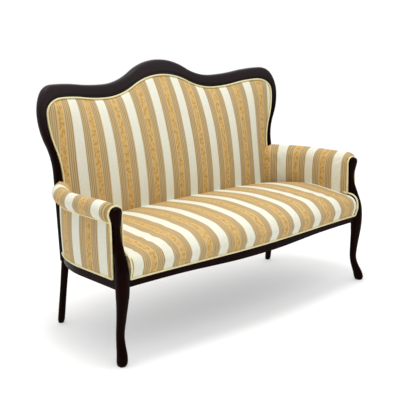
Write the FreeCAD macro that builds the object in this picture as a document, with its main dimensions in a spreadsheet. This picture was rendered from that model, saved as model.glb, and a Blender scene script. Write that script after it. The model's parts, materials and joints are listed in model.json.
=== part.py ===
"""Show-wood settee with a serpentine crest rail, cabriole front posts and tight striped upholstery.

Millimetres, Z up, the front looks along -Y. The origin is on the floor, midway between the arms and
midway between the seat's front edge and the crest's rear edge.
"""
import FreeCAD, Part
import math
import os
from types import SimpleNamespace

import Sketcher
from FreeCAD import Placement, Rotation, Vector

# Driving dimensions, one cell of the sheet each
SIZES = {
    # back frame, seen from the front
    "crest_height": 1006,
    "dip_height": 923,
    "shoulder_height": 943,
    "widest_height": 832,
    "waist_height": 612,
    "dip_half": 295,
    "shoulder_half": 562,
    "inner_shoulder_half": 532,
    "widest_half": 643,
    "waist_half": 594,
    "rail_post_half": 608,
    "crest_band": 61,
    "dip_band": 51,
    "shoulder_band": 50,
    "stile_band": 32,
    "waist_band": 28,
    "bead_width": 12,
    "bead_step": 4,
    "ledge_width": 12,
    "ledge_depth": 12,
    "crest_joint": 790,
    "crest_tenon_inset": 20,
    # back frame, seen from above and from the side
    "frame_thickness": 34,
    "back_radius": 2800,
    "back_rake": 5.6,
    "back_reach": 498,
    # seat rails
    "rail_bottom": 270,
    "rail_height": 75,
    "front_rail_thickness": 28,
    "front_rail_set": 16,
    "front_rail_bow": 26,
    "front_rail_half": 622,
    "side_half": 660,
    "side_rail_thickness": 25,
    "side_rail_drop": 2,
    "side_straight": 230,
    "side_radius": 400,
    "back_rail_thickness": 22,
    "back_rail_set": 3,
    "brace_half": 215,
    "brace_width": 40,
    "brace_height": 24,
    "block_leg": 85,
    "block_height": 40,
    "block_raise": 12,
    # posts and legs
    "post_out": 646,
    "post_width": 48,
    "post_depth": 44,
    "post_top": 564,
    "rear_foot_out": 597,
    "rear_foot_reach": 492,
    "rear_leg_diameter": 28,
    "rear_foot_diameter": 22,
    "rear_leg_top_diameter": 32,
    # rails hidden in the back and the arms
    "lower_back_rail_bottom": 385,
    "lower_back_rail_height": 45,
    "hidden_rail_thickness": 20,
    "upright_half": 220,
    "upright_width": 40,
    "arm_rail_inset": 5,
    "arm_rail_width": 25,
    "arm_rail_drop": 26,
    "arm_rail_height": 45,
    "tack_rail_bottom": 362,
    "tack_rail_height": 30,
    # joints
    "tenon_length": 36,
    "tenon_thickness": 9,
    "rail_tenon_height": 48,
    "slim_tenon_height": 20,
    "screw_diameter": 4.5,
    "screw_length": 42,
    "screw_head_diameter": 8.5,
    "screw_head_height": 3,
    "screw_bite": 18,
    "joint_clearance": 0.1,
    # upholstery
    "cloth": 2,
    "soft_clearance": 0.3,
    "welt_diameter": 7,
    "welt_height": 308,
    "webbing_width": 50,
    "webbing_thickness": 2,
    "seat_strap_count": 11,
    "seat_strap_pitch": 102,
    "cross_strap_count": 4,
    "cross_strap_pitch": 90,
    "cross_strap_start": 75,
    "back_strap_count": 7,
    "back_strap_pitch": 150,
    "hessian": 1,
    "seat_overhang": 15,
    "seat_nose_run": 62,
    "seat_nose_height": 410,
    "seat_crown_height": 432,
    "seat_rear_height": 414,
    "seat_end_drop": 10,
    "seat_cover_bottom": 312,
    "seat_wall_height": 48,
    "back_pad_bottom": 356,
    "back_crown": 70,
    "arm_front": 26,
    "arm_seam_height": 508,
    "arm_seam_out": 12,
    "arm_roll_rise": 72,
    "arm_roll_out": 32,
    "arm_roll_top_inset": 12,
    "arm_inside_inset": 60,
    "arm_cheek": 14,
    "arm_inside_drop": 46,
    "arm_pad_bottom": 356,
    "dust_cover": 0.8,
    "dust_cover_inset": 8,
}

# Front post from foot to top: share of the height, side shift, forward shift, share of width and depth
LEG_STATIONS = (
    (0.00, 21, 12, 0.54, 0.68),
    (0.05, 19, 13, 0.70, 0.90),
    (0.14, 15, 9, 0.71, 0.86),
    (0.27, 9, -4, 0.65, 0.64),
    (0.40, 5, -10, 0.62, 0.57),
    (0.61, 2, -4, 0.71, 0.68),
    (0.80, 1, 3, 0.83, 0.82),
    (0.97, 0, 7, 0.97, 0.96),
)
STUMP_STATIONS = (
    (0.15, 0, 8, 1.00, 1.00),
    (0.30, -1, 5, 0.98, 0.96),
    (0.46, -5, -8, 0.83, 0.86),
    (0.61, -8, -22, 0.69, 0.77),
    (0.73, -9, -28, 0.65, 0.75),
    (0.85, -9, -27, 0.77, 0.90),
    (0.935, -9, -24, 0.86, 1.03),
    (0.982, -9, -23, 0.76, 0.92),
    (1.00, -9, -23, 0.50, 0.64),
)

# Swell of the back pad: share of its height, share of the full crown
BACK_SWELL = ((0.0, 0.8), (0.2, 1.0), (0.5, 0.9), (0.8, 0.45), (1.0, 0.05))

ACROSS = (1.0, 0.0)
DOWN = (0.0, -1.0)
UP = Vector(0, 0, 1)
CORNER_SHARE = 0.42
CORNER_FACETS = 2
ARC_FACETS = 5
REACH = 800.0
OVERCUT = 5.0
BAND_SPARE = 150.0
SIDE_TURN = 55
SCREW_PLACE = 0.62
NOSE_BEND = (0.27, 0.75)
SEAT_SPANS = 3
WELT_SIDES = 6
LEG_SIDES = 20
SHANK_SIDES = 8
HEAD_SIDES = 6

doc = FreeCAD.newDocument("settee")


def make_sheet():
    """Write the driving dimensions into the sheet and return it."""
    sheet = doc.addObject("Spreadsheet::Sheet", "Sizes")
    for row, (alias, value) in enumerate(SIZES.items(), start=1):
        sheet.set(f"A{row}", alias)
        sheet.set(f"B{row}", str(value))
        sheet.setAlias(f"B{row}", alias)
    doc.recompute()
    return sheet


def read_sizes(sheet):
    """Read the sheet back and add the sizes that follow from it."""
    size = SimpleNamespace(**{alias: float(sheet.get(alias)) for alias in SIZES})
    size.slope = math.tan(math.radians(size.back_rake))
    size.upright = math.cos(math.radians(size.back_rake))
    size.rail_top = size.rail_bottom + size.rail_height
    size.side_rail_top = size.rail_top - size.side_rail_drop
    crest_rear = size.back_reach + size.slope * (size.crest_height - size.rail_top)
    crest_rear += size.frame_thickness / size.upright
    seat_front = size.front_rail_set + size.front_rail_bow + size.seat_overhang
    size.front = (seat_front - crest_rear) / 2
    size.rail_radius = (size.front_rail_half**2 + size.front_rail_bow**2) / (2 * size.front_rail_bow)
    size.rail_centre = size.front - size.front_rail_set - size.front_rail_bow + size.rail_radius
    size.turn_x = size.side_half - size.side_radius
    size.turn_y = size.front + size.side_straight
    size.post_band = size.waist_band + size.ledge_width
    size.arm_lining = size.arm_rail_inset + size.arm_rail_width
    size.arm_rail_bottom = size.arm_seam_height - size.arm_rail_drop
    size.arm_roll_height = size.arm_seam_height + size.arm_roll_rise
    return size


# General shapes


def box(low, high):
    """Make a box between two corners."""
    return Part.makeBox(high[0] - low[0], high[1] - low[1], high[2] - low[2], Vector(*low))


def slab(low, high):
    """Make a box of unlimited plan between two heights."""
    return box((-REACH, -REACH, low), (REACH, REACH, high))


def mirrored(shape):
    """Mirror a right-hand shape to the left."""
    return shape.mirror(Vector(0, 0, 0), Vector(1, 0, 0))


def largest(shape):
    """Keep the largest solid of a cut shape."""
    return max(shape.Solids, key=lambda solid: solid.Volume)


def polygon_face(points):
    """Make a flat face from its corners."""
    return Part.Face(Part.makePolygon([*points, points[0]]))


def ring_wire(centre, axis, diameter, sides):
    """Draw a regular outline about an axis."""
    across = axis.cross(UP) if abs(axis.z) < 0.9 else axis.cross(Vector(0, 1, 0))
    across.normalize()
    beside = axis.cross(across).normalize()
    points = []
    for side in range(sides):
        angle = 2 * math.pi * (side + 0.5) / sides
        points.append(centre + (across * math.cos(angle) + beside * math.sin(angle)) * (diameter / 2))
    return Part.makePolygon([*points, points[0]])


def rod(start, end, diameter, sides):
    """Make a many-sided rod between two points."""
    axis = end - start
    return Part.Face(ring_wire(start, Vector(axis).normalize(), diameter, sides)).extrude(axis)


def with_midways(stations):
    """Add a station between each two, on a smooth curve through their neighbours."""
    padded = [stations[0], *stations, stations[-1]]
    blended = []
    for before, start, end, after in zip(padded, padded[1:], padded[2:], padded[3:]):
        blended.append(start)
        blended.append([(9 * (b + c) - a - d) / 16 for a, b, c, d in zip(before, start, end, after)])
    return [*blended, stations[-1]]


def rounded_section(centre, width, depth):
    """Draw a level rectangle with eased corners of a few facets each."""
    radius = CORNER_SHARE * min(width, depth)
    points = []
    for quarter, (right, back) in enumerate(((1, -1), (1, 1), (-1, 1), (-1, -1))):
        middle = centre + Vector(right * (width / 2 - radius), back * (depth / 2 - radius), 0)
        for facet in range(CORNER_FACETS + 1):
            angle = math.radians(90 * (quarter - 1 + facet / CORNER_FACETS))
            points.append(middle + Vector(radius * math.cos(angle), radius * math.sin(angle), 0))
    return Part.makePolygon([*points, points[0]])


def arc_points(start, middle, end):
    """List points along the arc through three points, for a facetted round."""
    arc = Part.Arc(start, middle, end)
    reach = arc.LastParameter - arc.FirstParameter
    return [arc.value(arc.FirstParameter + reach * step / ARC_FACETS) for step in range(ARC_FACETS + 1)]


def arc_from(start, way, end):
    """Make the arc that leaves a point in a given direction and ends at another."""
    chord = end - start
    angle = way.getAngle(chord)
    if angle < 1e-4:
        return Part.makeLine(start, end)
    along = Vector(chord).normalize()
    side = (way - along * way.dot(along)).normalize()
    bulge = chord.Length / 2 * math.tan(angle / 2)
    return Part.Arc(start, (start + end) * 0.5 + side * bulge, end).toShape()


def biarc(start, start_way, end, end_way):
    """Join two points with given directions by two arcs that run into each other."""
    chord = end - start
    spread = 2 * (1 - start_way.dot(end_way))
    lean = chord.dot(start_way + end_way)
    if spread < 1e-9:
        reach = chord.dot(chord) / (2 * lean)
    else:
        reach = (-lean + math.sqrt(lean**2 + spread * chord.dot(chord))) / spread
    middle = (start + end + (start_way - end_way) * reach) * 0.5
    middle_way = (middle - start - start_way * reach).normalize()
    return [arc_from(start, start_way, middle), arc_from(middle, middle_way, end)]


# The curved and raked back frame


def back_y(size, x, z, depth=0.0):
    """Give where the back frame's face, or a layer some depth behind it, stands."""
    swing = math.sqrt((size.back_radius + depth) ** 2 - x**2) - size.back_radius
    return size.front + size.back_reach + swing / size.upright + size.slope * (z - size.rail_top)


def back_band(size, near, far):
    """Make the curved layer between two depths behind the frame's front face, about its raked axis."""
    low = size.rail_bottom - BAND_SPARE
    height = (size.crest_height + BAND_SPARE - low) / size.upright + size.back_radius * size.slope
    foot = Vector(0, back_y(size, 0, low) - size.back_radius / size.upright, low)
    axis = Vector(0, size.slope, 1)
    outer = Part.makeCylinder(size.back_radius + far, height, foot, axis)
    return outer.cut(Part.makeCylinder(size.back_radius + near, height, foot, axis))


def outer_outline(size):
    """List the right half of the frame's outer outline: place and direction."""
    return (
        (0, size.crest_height, ACROSS),
        (size.dip_half, size.dip_height, ACROSS),
        (size.shoulder_half, size.shoulder_height, ACROSS),
        (size.widest_half, size.widest_height, DOWN),
        (size.waist_half, size.waist_height, DOWN),
    )


def inner_outline(size):
    """List the right half of the frame's visible inner outline: place and direction."""
    return (
        (0, size.crest_height - size.crest_band, ACROSS),
        (size.dip_half, size.dip_height - size.dip_band, ACROSS),
        (size.inner_shoulder_half, size.shoulder_height - size.shoulder_band, ACROSS),
        (size.widest_half - size.stile_band, size.widest_height, DOWN),
        (size.waist_half - size.waist_band, size.waist_height - size.waist_band, DOWN),
    )


def outline_stops(half, offset):
    """List places and directions along a half outline and its mirror image, moved outward by an offset."""
    right = [(x - offset * rise, z + offset * along, along, rise) for x, z, (along, rise) in half]
    left = [(-x, z, along, -rise) for x, z, along, rise in reversed(right[1:])]
    return [(Vector(x, 0, z), Vector(along, 0, rise)) for x, z, along, rise in left + right]


def arc_path(stops):
    """Join places with given directions by arcs that run into each other."""
    path = []
    for (start, start_way), (end, end_way) in zip(stops, stops[1:]):
        path += biarc(start, start_way, end, end_way)
    return path


def outline_prism(half, offset, foot_x, foot_z):
    """Extrude an outline, closed by straight legs to its foot, through the whole depth."""
    stops = outline_stops(half, offset)
    right_foot = Vector(foot_x + offset, 0, foot_z)
    left_foot = Vector(-foot_x - offset, 0, foot_z)
    edges = arc_path(stops)
    edges.append(Part.makeLine(stops[-1][0], right_foot))
    edges.append(Part.makeLine(right_foot, left_foot))
    edges.append(Part.makeLine(left_foot, stops[0][0]))
    face = Part.Face(Part.Wire(edges))
    face.translate(Vector(0, -REACH, 0))
    return face.extrude(Vector(0, 2 * REACH, 0))


def outer_prism(size):
    """Extrude the frame's outer outline."""
    return outline_prism(outer_outline(size), 0, size.rail_post_half, size.rail_bottom)


def inner_prism(size, offset, foot_z):
    """Extrude the frame's visible inner outline down to a height, moved outward by an offset."""
    waist_x = size.waist_half - size.waist_band
    waist_z = size.waist_height - size.waist_band
    spread = size.rail_post_half - size.waist_half
    foot_x = waist_x + spread * (waist_z - foot_z) / (waist_z - size.rail_bottom)
    return outline_prism(inner_outline(size), offset, foot_x, foot_z)


def back_ring(size):
    """Make crest and stiles in one, stepped at the bead and at the tacking ledge round the opening."""
    foot_z = size.rail_bottom - OVERCUT
    depths = (0, size.bead_step, size.ledge_depth, size.frame_thickness)
    openings = (size.bead_width, 0, -size.ledge_width)
    layers = []
    for near, far, offset in zip(depths, depths[1:], openings):
        layer = outer_prism(size).common(back_band(size, near, far))
        layers.append(layer.cut(inner_prism(size, offset, foot_z)))
    return layers[0].fuse(layers[1:]).removeSplitter()


def rear_leg(size):
    """Loft the right rear leg, round and splayed, from the floor into the post above it."""
    post_x = size.rail_post_half - size.post_band / 2
    post_y = back_y(size, post_x, size.rail_bottom, size.frame_thickness / 2)
    foot = Vector(size.rear_foot_out, size.front + size.rear_foot_reach, 0)
    top = Vector(post_x, post_y, size.rail_bottom + OVERCUT)
    stations = (
        (0.0, size.rear_foot_diameter),
        (0.04, size.rear_leg_diameter * 0.94),
        (0.1, size.rear_leg_diameter),
        (0.6, size.rear_leg_diameter),
        (1.0, size.rear_leg_top_diameter),
    )
    rings = []
    for share, diameter in stations:
        centre = foot + (top - foot) * share
        rings.append(ring_wire(centre, UP, diameter, LEG_SIDES))
    return Part.makeLoft(rings, True, True)


def front_post(size, grow):
    """Loft the right front post, leg and arm stump in one, grown all round."""
    stump_height = size.post_top - size.rail_bottom
    stations = [(share * size.rail_bottom, *rest) for share, *rest in LEG_STATIONS]
    stations += [(size.rail_bottom + share * stump_height, *rest) for share, *rest in STUMP_STATIONS]
    sections = []
    for height, aside, ahead, width, depth in with_midways(stations):
        centre = Vector(size.post_out + aside, size.front - ahead, height)
        sections.append(
            rounded_section(centre, width * size.post_width + 2 * grow, depth * size.post_depth + 2 * grow)
        )
    if grow > 0:
        crown = sections[-1].copy()
        crown.translate(UP * grow)
        sections.append(crown)
    return Part.makeLoft(sections, True, True)


# The curved sides


def side_sweep(size, face, start, angle):
    """Sweep an upright face along the right side: straight to the rear, then turning inward."""
    straight = face.extrude(Vector(0, start - size.side_straight, 0))
    turn = face.revolve(Vector(size.turn_x, size.turn_y, 0), UP, angle)
    return straight.fuse(turn).removeSplitter()


def side_face(size, corners):
    """Place a face of given x and z corners where the straight side ends."""
    return polygon_face([Vector(x, size.turn_y, z) for x, z in corners])


def side_bar(size, inset, width, low, high, start):
    """Sweep a rectangular bar along the right side, up to the back frame."""
    outer = size.side_half - inset
    corners = ((outer, low), (outer, high), (outer - width, high), (outer - width, low))
    return side_sweep(size, side_face(size, corners), start, SIDE_TURN)


def meeting_angle(size, inset, z):
    """Find the turn at which a line along the right side reaches the back frame's face."""
    low, high = 0.0, math.radians(SIDE_TURN)
    radius = size.side_radius - inset
    for _ in range(40):
        angle = (low + high) / 2
        x = size.turn_x + radius * math.cos(angle)
        if size.turn_y + radius * math.sin(angle) < back_y(size, x, z):
            low = angle
        else:
            high = angle
    return low


def meeting_point(size, inset, z):
    """Give where a line along the right side reaches the back frame, and a way halfway to straight back."""
    angle = meeting_angle(size, inset, z)
    radius = size.side_radius - inset
    place = Vector(size.turn_x + radius * math.cos(angle), size.turn_y + radius * math.sin(angle), z)
    return place, Vector(-math.sin(angle / 2), math.cos(angle / 2), 0)


def seat_plan(size, inset, low, high, back_gap):
    """Make a plate of the seat's plan, drawn in at the sides and stopped before the back frame."""
    edge = size.side_half - inset
    corners = ((size.turn_x, low), (size.turn_x, high), (edge, high), (edge, low))
    wing = side_sweep(size, side_face(size, corners), -REACH / 4, 90)
    middle = box((-size.turn_x - 1, size.front - REACH / 4, low), (size.turn_x + 1, REACH, high))
    plate = wing.fuse([mirrored(wing), middle]).removeSplitter()
    return plate.cut(back_band(size, -back_gap, REACH / 2))


# Joints


def post_back(size, z):
    """Give the depth of the front post's rear face at a height of its stump."""
    share = (z - size.rail_bottom) / (size.post_top - size.rail_bottom)
    for lower, upper in zip(STUMP_STATIONS, STUMP_STATIONS[1:]):
        low, _, ahead, _, depth = lower
        high, _, ahead_next, _, depth_next = upper
        if low <= share <= high:
            part = (share - low) / (high - low)
            forward = ahead + part * (ahead_next - ahead)
            return size.front - forward + size.post_depth * (depth + part * (depth_next - depth)) / 2
    return size.front - STUMP_STATIONS[0][2] + size.post_depth / 2


def tenon_lines(size):
    """List the middle, direction, upright and height of every loose tenon on the right."""
    along_x = Vector(1, 0, 0)
    along_y = Vector(0, 1, 0)
    rail_z = size.rail_bottom + size.rail_height / 2
    rail_y = size.front - size.front_rail_set + size.front_rail_thickness / 2
    side_x = size.side_half - size.side_rail_thickness / 2
    inner_x = size.rail_post_half - size.post_band
    rail_depth = size.back_rail_set + size.back_rail_thickness / 2
    crest_x = size.widest_half - size.crest_tenon_inset
    crest_y = back_y(size, crest_x, size.crest_joint, size.frame_thickness / 2)
    arm_z = size.arm_rail_bottom + size.arm_rail_height / 2
    arm_inset = size.arm_rail_inset + size.arm_rail_width / 2
    lower_z = size.lower_back_rail_bottom + size.lower_back_rail_height / 2
    lower_x = inner_x - size.ledge_width / 2
    lower_y = back_y(size, lower_x, lower_z, size.ledge_depth + size.hidden_rail_thickness / 2)
    tall = size.rail_tenon_height
    slim = size.slim_tenon_height
    return (
        (Vector(size.post_out - size.post_width / 2, rail_y, rail_z), along_x, UP, tall),
        (Vector(side_x, post_back(size, rail_z), rail_z), along_y, UP, tall),
        (*meeting_point(size, size.side_rail_thickness / 2, rail_z), UP, tall),
        (Vector(inner_x, back_y(size, inner_x, size.rail_top) + rail_depth, rail_z), along_x, UP, tall),
        (Vector(crest_x, crest_y, size.crest_joint), Vector(0, size.slope, 1).normalize(), along_x, slim),
        (Vector(size.side_half - arm_inset, post_back(size, arm_z), arm_z), along_y, UP, slim),
        (*meeting_point(size, arm_inset, arm_z), UP, slim),
        (Vector(lower_x, lower_y, lower_z), along_x, UP, slim),
    )


def tenons(size, clearance):
    """Make the right-hand loose tenons, or their mortises when a clearance is given."""
    made = []
    thickness = size.tenon_thickness + 2 * clearance
    reach = size.tenon_length / 2 + clearance
    for middle, axis, upright, height in tenon_lines(size):
        rise = upright * (height / 2 + clearance)
        side = axis.cross(upright).normalize() * thickness
        corner = middle - axis * reach - rise - side / 2
        outline = [corner, corner + side, corner + side + rise * 2, corner + rise * 2]
        made.append(polygon_face(outline).extrude(axis * (2 * reach)))
    return made


def screw_lines(size):
    """List the head place and direction of the right-hand corner block screws."""
    z = size.rail_bottom + size.block_raise + size.block_height / 2
    length = size.screw_length - size.screw_bite
    side_x = size.side_half - size.side_rail_thickness - length
    front_x = size.side_half - size.block_leg + 14
    front_bow = size.rail_radius - math.sqrt(size.rail_radius**2 - front_x**2)
    front_y = size.rail_centre - size.rail_radius + front_bow + size.front_rail_thickness + length
    back_x = size.rail_post_half - size.post_band - 38
    rear_y = back_y(size, back_x, size.rail_top) + size.back_rail_set - length
    turned_y = back_y(size, back_x, size.rail_top) - size.block_leg * SCREW_PLACE
    inner_radius = size.side_radius - size.side_rail_thickness
    turned_x = size.turn_x + math.sqrt(inner_radius**2 - (turned_y - size.turn_y) ** 2) - length
    return (
        (Vector(side_x, size.front + size.block_leg * SCREW_PLACE, z), Vector(1, 0, 0)),
        (Vector(front_x, front_y, z), Vector(0, -1, 0)),
        (Vector(back_x, rear_y, z), Vector(0, 1, 0)),
        (Vector(turned_x, turned_y, z), Vector(1, 0, 0)),
    )


def screws(size, clearance, head_room):
    """Make the right-hand screws, or their holes when a clearance and head room are given."""
    made = []
    for seat, axis in screw_lines(size):
        tip = seat + axis * (size.screw_length - size.screw_head_height + clearance)
        shank = rod(seat, tip, size.screw_diameter + 2 * clearance, SHANK_SIDES)
        head_back = seat - axis * (size.screw_head_height + head_room)
        head = rod(head_back, seat, size.screw_head_diameter + 2 * clearance, HEAD_SIDES)
        made.append(shank.fuse(head))
    return made


def bored(shape, holes):
    """Cut every hole that reaches a shape."""
    near = [hole for hole in holes if hole.BoundBox.intersect(shape.BoundBox)]
    return shape.cut(near) if near else shape


# Upholstery shapes


def seat_front_y(size, x):
    """Give the depth of the front rail's front face."""
    return size.rail_centre - math.sqrt(size.rail_radius**2 - x**2)


def seat_section(size, x, inset):
    """Draw the seat's side profile at one place, drawn in by an inset: wall, nose, crown and rear."""
    drop = size.seat_end_drop * (x / size.front_rail_half) ** 2
    rail_y = seat_front_y(size, x) - size.soft_clearance - size.cloth + inset
    wall_y = seat_front_y(size, x) - size.seat_overhang + inset
    wall_z = size.seat_cover_bottom + size.seat_wall_height - drop
    nose_y = wall_y + size.seat_nose_run - inset
    nose_z = size.seat_nose_height - drop - inset
    rear_y = nose_y + size.back_reach
    base = size.seat_cover_bottom - inset
    foot = Vector(x, rail_y, base)
    wall = Vector(x, wall_y, wall_z)
    bend_y = wall_y + NOSE_BEND[0] * (nose_y - wall_y)
    bend = Vector(x, bend_y, wall_z + NOSE_BEND[1] * (nose_z - wall_z))
    nose = Vector(x, nose_y, nose_z)
    crown = Vector(x, (nose_y + rear_y) / 2, size.seat_crown_height - drop - inset)
    rear = Vector(x, rear_y, size.seat_rear_height - drop - inset)
    top = arc_points(wall, bend, nose)[:-1] + arc_points(nose, crown, rear)
    return Part.makePolygon([foot, *top, Vector(x, rear_y, base), foot])


def seat_body(size, inset):
    """Loft the seat from arm to arm, drawn in by an inset."""
    half = size.front_rail_half + 20
    steps = range(-SEAT_SPANS, SEAT_SPANS + 1)
    sections = [seat_section(size, half * step / SEAT_SPANS, inset) for step in steps]
    return Part.makeLoft(sections, True, True)


def back_body(size, depth, inset):
    """Loft the swelling back pad upward from its rear depth, drawn in at the front by an inset."""
    half = size.widest_half
    sections = []
    for share, swell in with_midways(BACK_SWELL):
        z = size.back_pad_bottom + share * (size.crest_height - size.back_pad_bottom)
        front = [
            Vector(-half, back_y(size, half, z) + inset, z),
            Vector(0, back_y(size, 0, z) - swell * size.back_crown + inset, z),
            Vector(half, back_y(size, half, z) + inset, z),
        ]
        rear = [Vector(x, back_y(size, x, z, depth), z) for x in (half, 0, -half)]
        outline = Part.makePolygon([rear[2], *arc_points(*front), rear[0]])
        sections.append(Part.Wire([*outline.Edges, Part.Arc(*rear).toShape()]))
    return Part.makeLoft(sections, True, True)


def arm_profile(size, inset):
    """Draw the arm's section at the right: the roll over the arm rail and the pad down its inside."""
    y = size.turn_y
    roll_x = size.side_half + size.arm_roll_out - inset
    top_x = size.side_half - size.arm_roll_top_inset
    top_z = size.arm_roll_height - inset
    inside_x = size.side_half - size.arm_inside_inset + inset
    hollow_x = size.side_half - size.arm_lining - size.hessian - size.soft_clearance
    seam = Vector(size.side_half + size.arm_seam_out - inset, y, size.arm_seam_height)
    belly = Vector(roll_x, y, (size.arm_seam_height + size.arm_roll_height) / 2 + 6)
    top = Vector(top_x, y, top_z)
    cheek = Vector(inside_x + size.arm_cheek, y, top_z - size.arm_cheek)
    inside = Vector(inside_x, y, top_z - size.arm_inside_drop)
    foot = Vector(inside_x, y, size.arm_pad_bottom)
    heel = Vector(hollow_x, y, size.arm_pad_bottom)
    hollow = Vector(hollow_x, y, size.arm_seam_height)
    roll = arc_points(seam, belly, top)[:-1] + arc_points(top, cheek, inside)
    return polygon_face([*roll, foot, heel, hollow])


def arm_body(size, inset):
    """Sweep the arm's section from the front post to the back frame."""
    return side_sweep(size, arm_profile(size, inset), size.arm_front + inset, SIDE_TURN)


def welt_disc(size, x, z):
    """Draw the welt's round section where the straight side ends."""
    return Part.Face(ring_wire(Vector(x, size.turn_y, z), Vector(0, 1, 0), size.welt_diameter, WELT_SIDES))


def side_welt(size, x, z):
    """Sweep a welt along the right side."""
    return side_sweep(size, welt_disc(size, x, z), size.arm_front, SIDE_TURN)


def pipe(path, start, direction, diameter):
    """Sweep a welt's section along a path of edges."""
    disc = ring_wire(start, direction, diameter, WELT_SIDES)
    return Part.Wire(path).makePipeShell([disc], True, False)


def post_welt(size):
    """Lead a welt up the inside of the right arm's front, over the top and down to the side rail."""
    y = size.front + size.arm_front - size.welt_diameter / 2 - size.soft_clearance
    middle = size.post_out + STUMP_STATIONS[-2][1]
    reach = size.post_width * STUMP_STATIONS[-3][3] / 2 + size.welt_diameter / 2 + 1
    shoulder = size.post_top - reach + size.welt_diameter
    low_inside = Vector(middle - reach, y, size.seat_nose_height)
    high_inside = Vector(middle - reach, y, shoulder)
    crown = Vector(middle, y, shoulder + reach)
    high_outside = Vector(middle + reach, y, shoulder)
    low_outside = Vector(size.side_half + size.welt_diameter / 2, y, size.welt_height)
    path = [
        Part.makeLine(low_inside, high_inside),
        Part.Arc(high_inside, crown, high_outside).toShape(),
        Part.makeLine(high_outside, low_outside),
    ]
    return pipe(path, low_inside, UP, size.welt_diameter)


def on_back(size, place, way):
    """Carry a place and direction of the back's elevation onto its curved and raked face."""
    swing = place.x / math.sqrt(size.back_radius**2 - place.x**2) / size.upright
    inward = size.slope * way.z - way.x * swing
    depth = back_y(size, place.x, place.z, size.bead_step / 2)
    return Vector(place.x, depth, place.z), Vector(way.x, inward, way.z).normalize()


def back_welt(size):
    """Lead a welt round the back's opening, on the curved and raked face."""
    stops = []
    for arc in arc_path(outline_stops(inner_outline(size), -size.welt_diameter / 2 - size.soft_clearance)):
        stops.append(on_back(size, arc.valueAt(arc.FirstParameter), arc.tangentAt(arc.FirstParameter)))
    stops.append(on_back(size, arc.valueAt(arc.LastParameter), arc.tangentAt(arc.LastParameter)))
    return pipe(arc_path(stops), *stops[0], size.welt_diameter)


# Document objects


def add_shape(label, shape):
    """Add a piece whose shape no standard feature makes."""
    piece = doc.addObject("Part::Feature", label)
    piece.Label = label
    piece.Shape = shape
    piece.Placement = Placement()
    return piece


def add_mirror(label, source):
    """Add the left-hand copy of a right-hand piece."""
    piece = doc.addObject("Part::Mirroring", label)
    piece.Label = label
    piece.Source = source
    piece.Base = Vector(0, 0, 0)
    piece.Normal = Vector(1, 0, 0)
    return piece


def add_cut(label, base, tool_shapes):
    """Add a piece cut to fit round its neighbours."""
    tool = doc.addObject("Part::Feature", f"{label}_fit")
    tool.Shape = tool_shapes[0].fuse(tool_shapes[1:])
    piece = doc.addObject("Part::Cut", label)
    piece.Label = label
    piece.Base = base
    piece.Tool = tool
    return piece


def add_curved_rail(label, radius, thickness, half, centre, turn):
    """Add a rail padded from two arcs about one centre, with sizes given as formulas of the sheet."""
    body = doc.addObject("PartDesign::Body", f"{label}_blank")
    sketch = body.newObject("Sketcher::SketchObject", f"{label}_plan")
    sketch.AttachmentSupport = [(body.Origin.OriginFeatures[3], "")]
    sketch.MapMode = "FlatFace"
    sketch.addGeometry(Part.ArcOfCircle(Part.Circle(Vector(0, 0, 0), UP, 1000), 4.4, 5.0), False)
    sketch.addGeometry(Part.ArcOfCircle(Part.Circle(Vector(0, 0, 0), UP, 960), 4.4, 5.0), False)
    sketch.addGeometry(Part.LineSegment(Vector(-300, -950, 0), Vector(-300, -910, 0)), False)
    sketch.addGeometry(Part.LineSegment(Vector(300, -950, 0), Vector(300, -910, 0)), False)
    sketch.addConstraint(Sketcher.Constraint("Coincident", 0, 3, 1, 3))
    sketch.addConstraint(Sketcher.Constraint("Coincident", 0, 3, -1, 1))
    sketch.addConstraint(Sketcher.Constraint("Coincident", 0, 1, 2, 1))
    sketch.addConstraint(Sketcher.Constraint("Coincident", 1, 1, 2, 2))
    sketch.addConstraint(Sketcher.Constraint("Coincident", 0, 2, 3, 1))
    sketch.addConstraint(Sketcher.Constraint("Coincident", 1, 2, 3, 2))
    sketch.addConstraint(Sketcher.Constraint("Vertical", 2))
    sketch.addConstraint(Sketcher.Constraint("Vertical", 3))
    sketch.addConstraint(Sketcher.Constraint("Symmetric", 0, 1, 0, 2, -2))
    outer = sketch.addConstraint(Sketcher.Constraint("Radius", 0, 1000))
    inner = sketch.addConstraint(Sketcher.Constraint("Radius", 1, 960))
    width = sketch.addConstraint(Sketcher.Constraint("DistanceX", 0, 1, 0, 2, 600))
    sketch.setExpression(f"Constraints[{outer}]", radius)
    sketch.setExpression(f"Constraints[{inner}]", f"{radius} - {thickness}")
    sketch.setExpression(f"Constraints[{width}]", f"2 * ({half})")
    pad = body.newObject("PartDesign::Pad", f"{label}_pad")
    pad.Profile = sketch
    pad.setExpression("Length", "Sizes.rail_height")
    body.Placement = Placement(Vector(0, 0, 0), Rotation(UP, turn))
    body.setExpression("Placement.Base.y", centre)
    body.setExpression("Placement.Base.z", "Sizes.rail_bottom")
    doc.recompute()
    return body


def export(nodes):
    """Test every piece and write its file."""
    doc.recompute()
    os.makedirs("parts", exist_ok=True)
    for piece in doc.Objects:
        if "Invalid" in piece.State or "Error" in piece.State:
            raise RuntimeError(f"{piece.Label} is in state {piece.State}")
    for piece in nodes:
        if piece.Shape.isNull() or not piece.Shape.isValid() or not piece.Shape.Solids:
            raise RuntimeError(f"{piece.Label} has no valid solid")
        piece.Shape.exportStep(f"parts/{piece.Label}.step")
        print(piece.Label, len(piece.Shape.Solids), round(piece.Shape.Volume / 1000, 1))


# Pieces of the wooden frame

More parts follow.
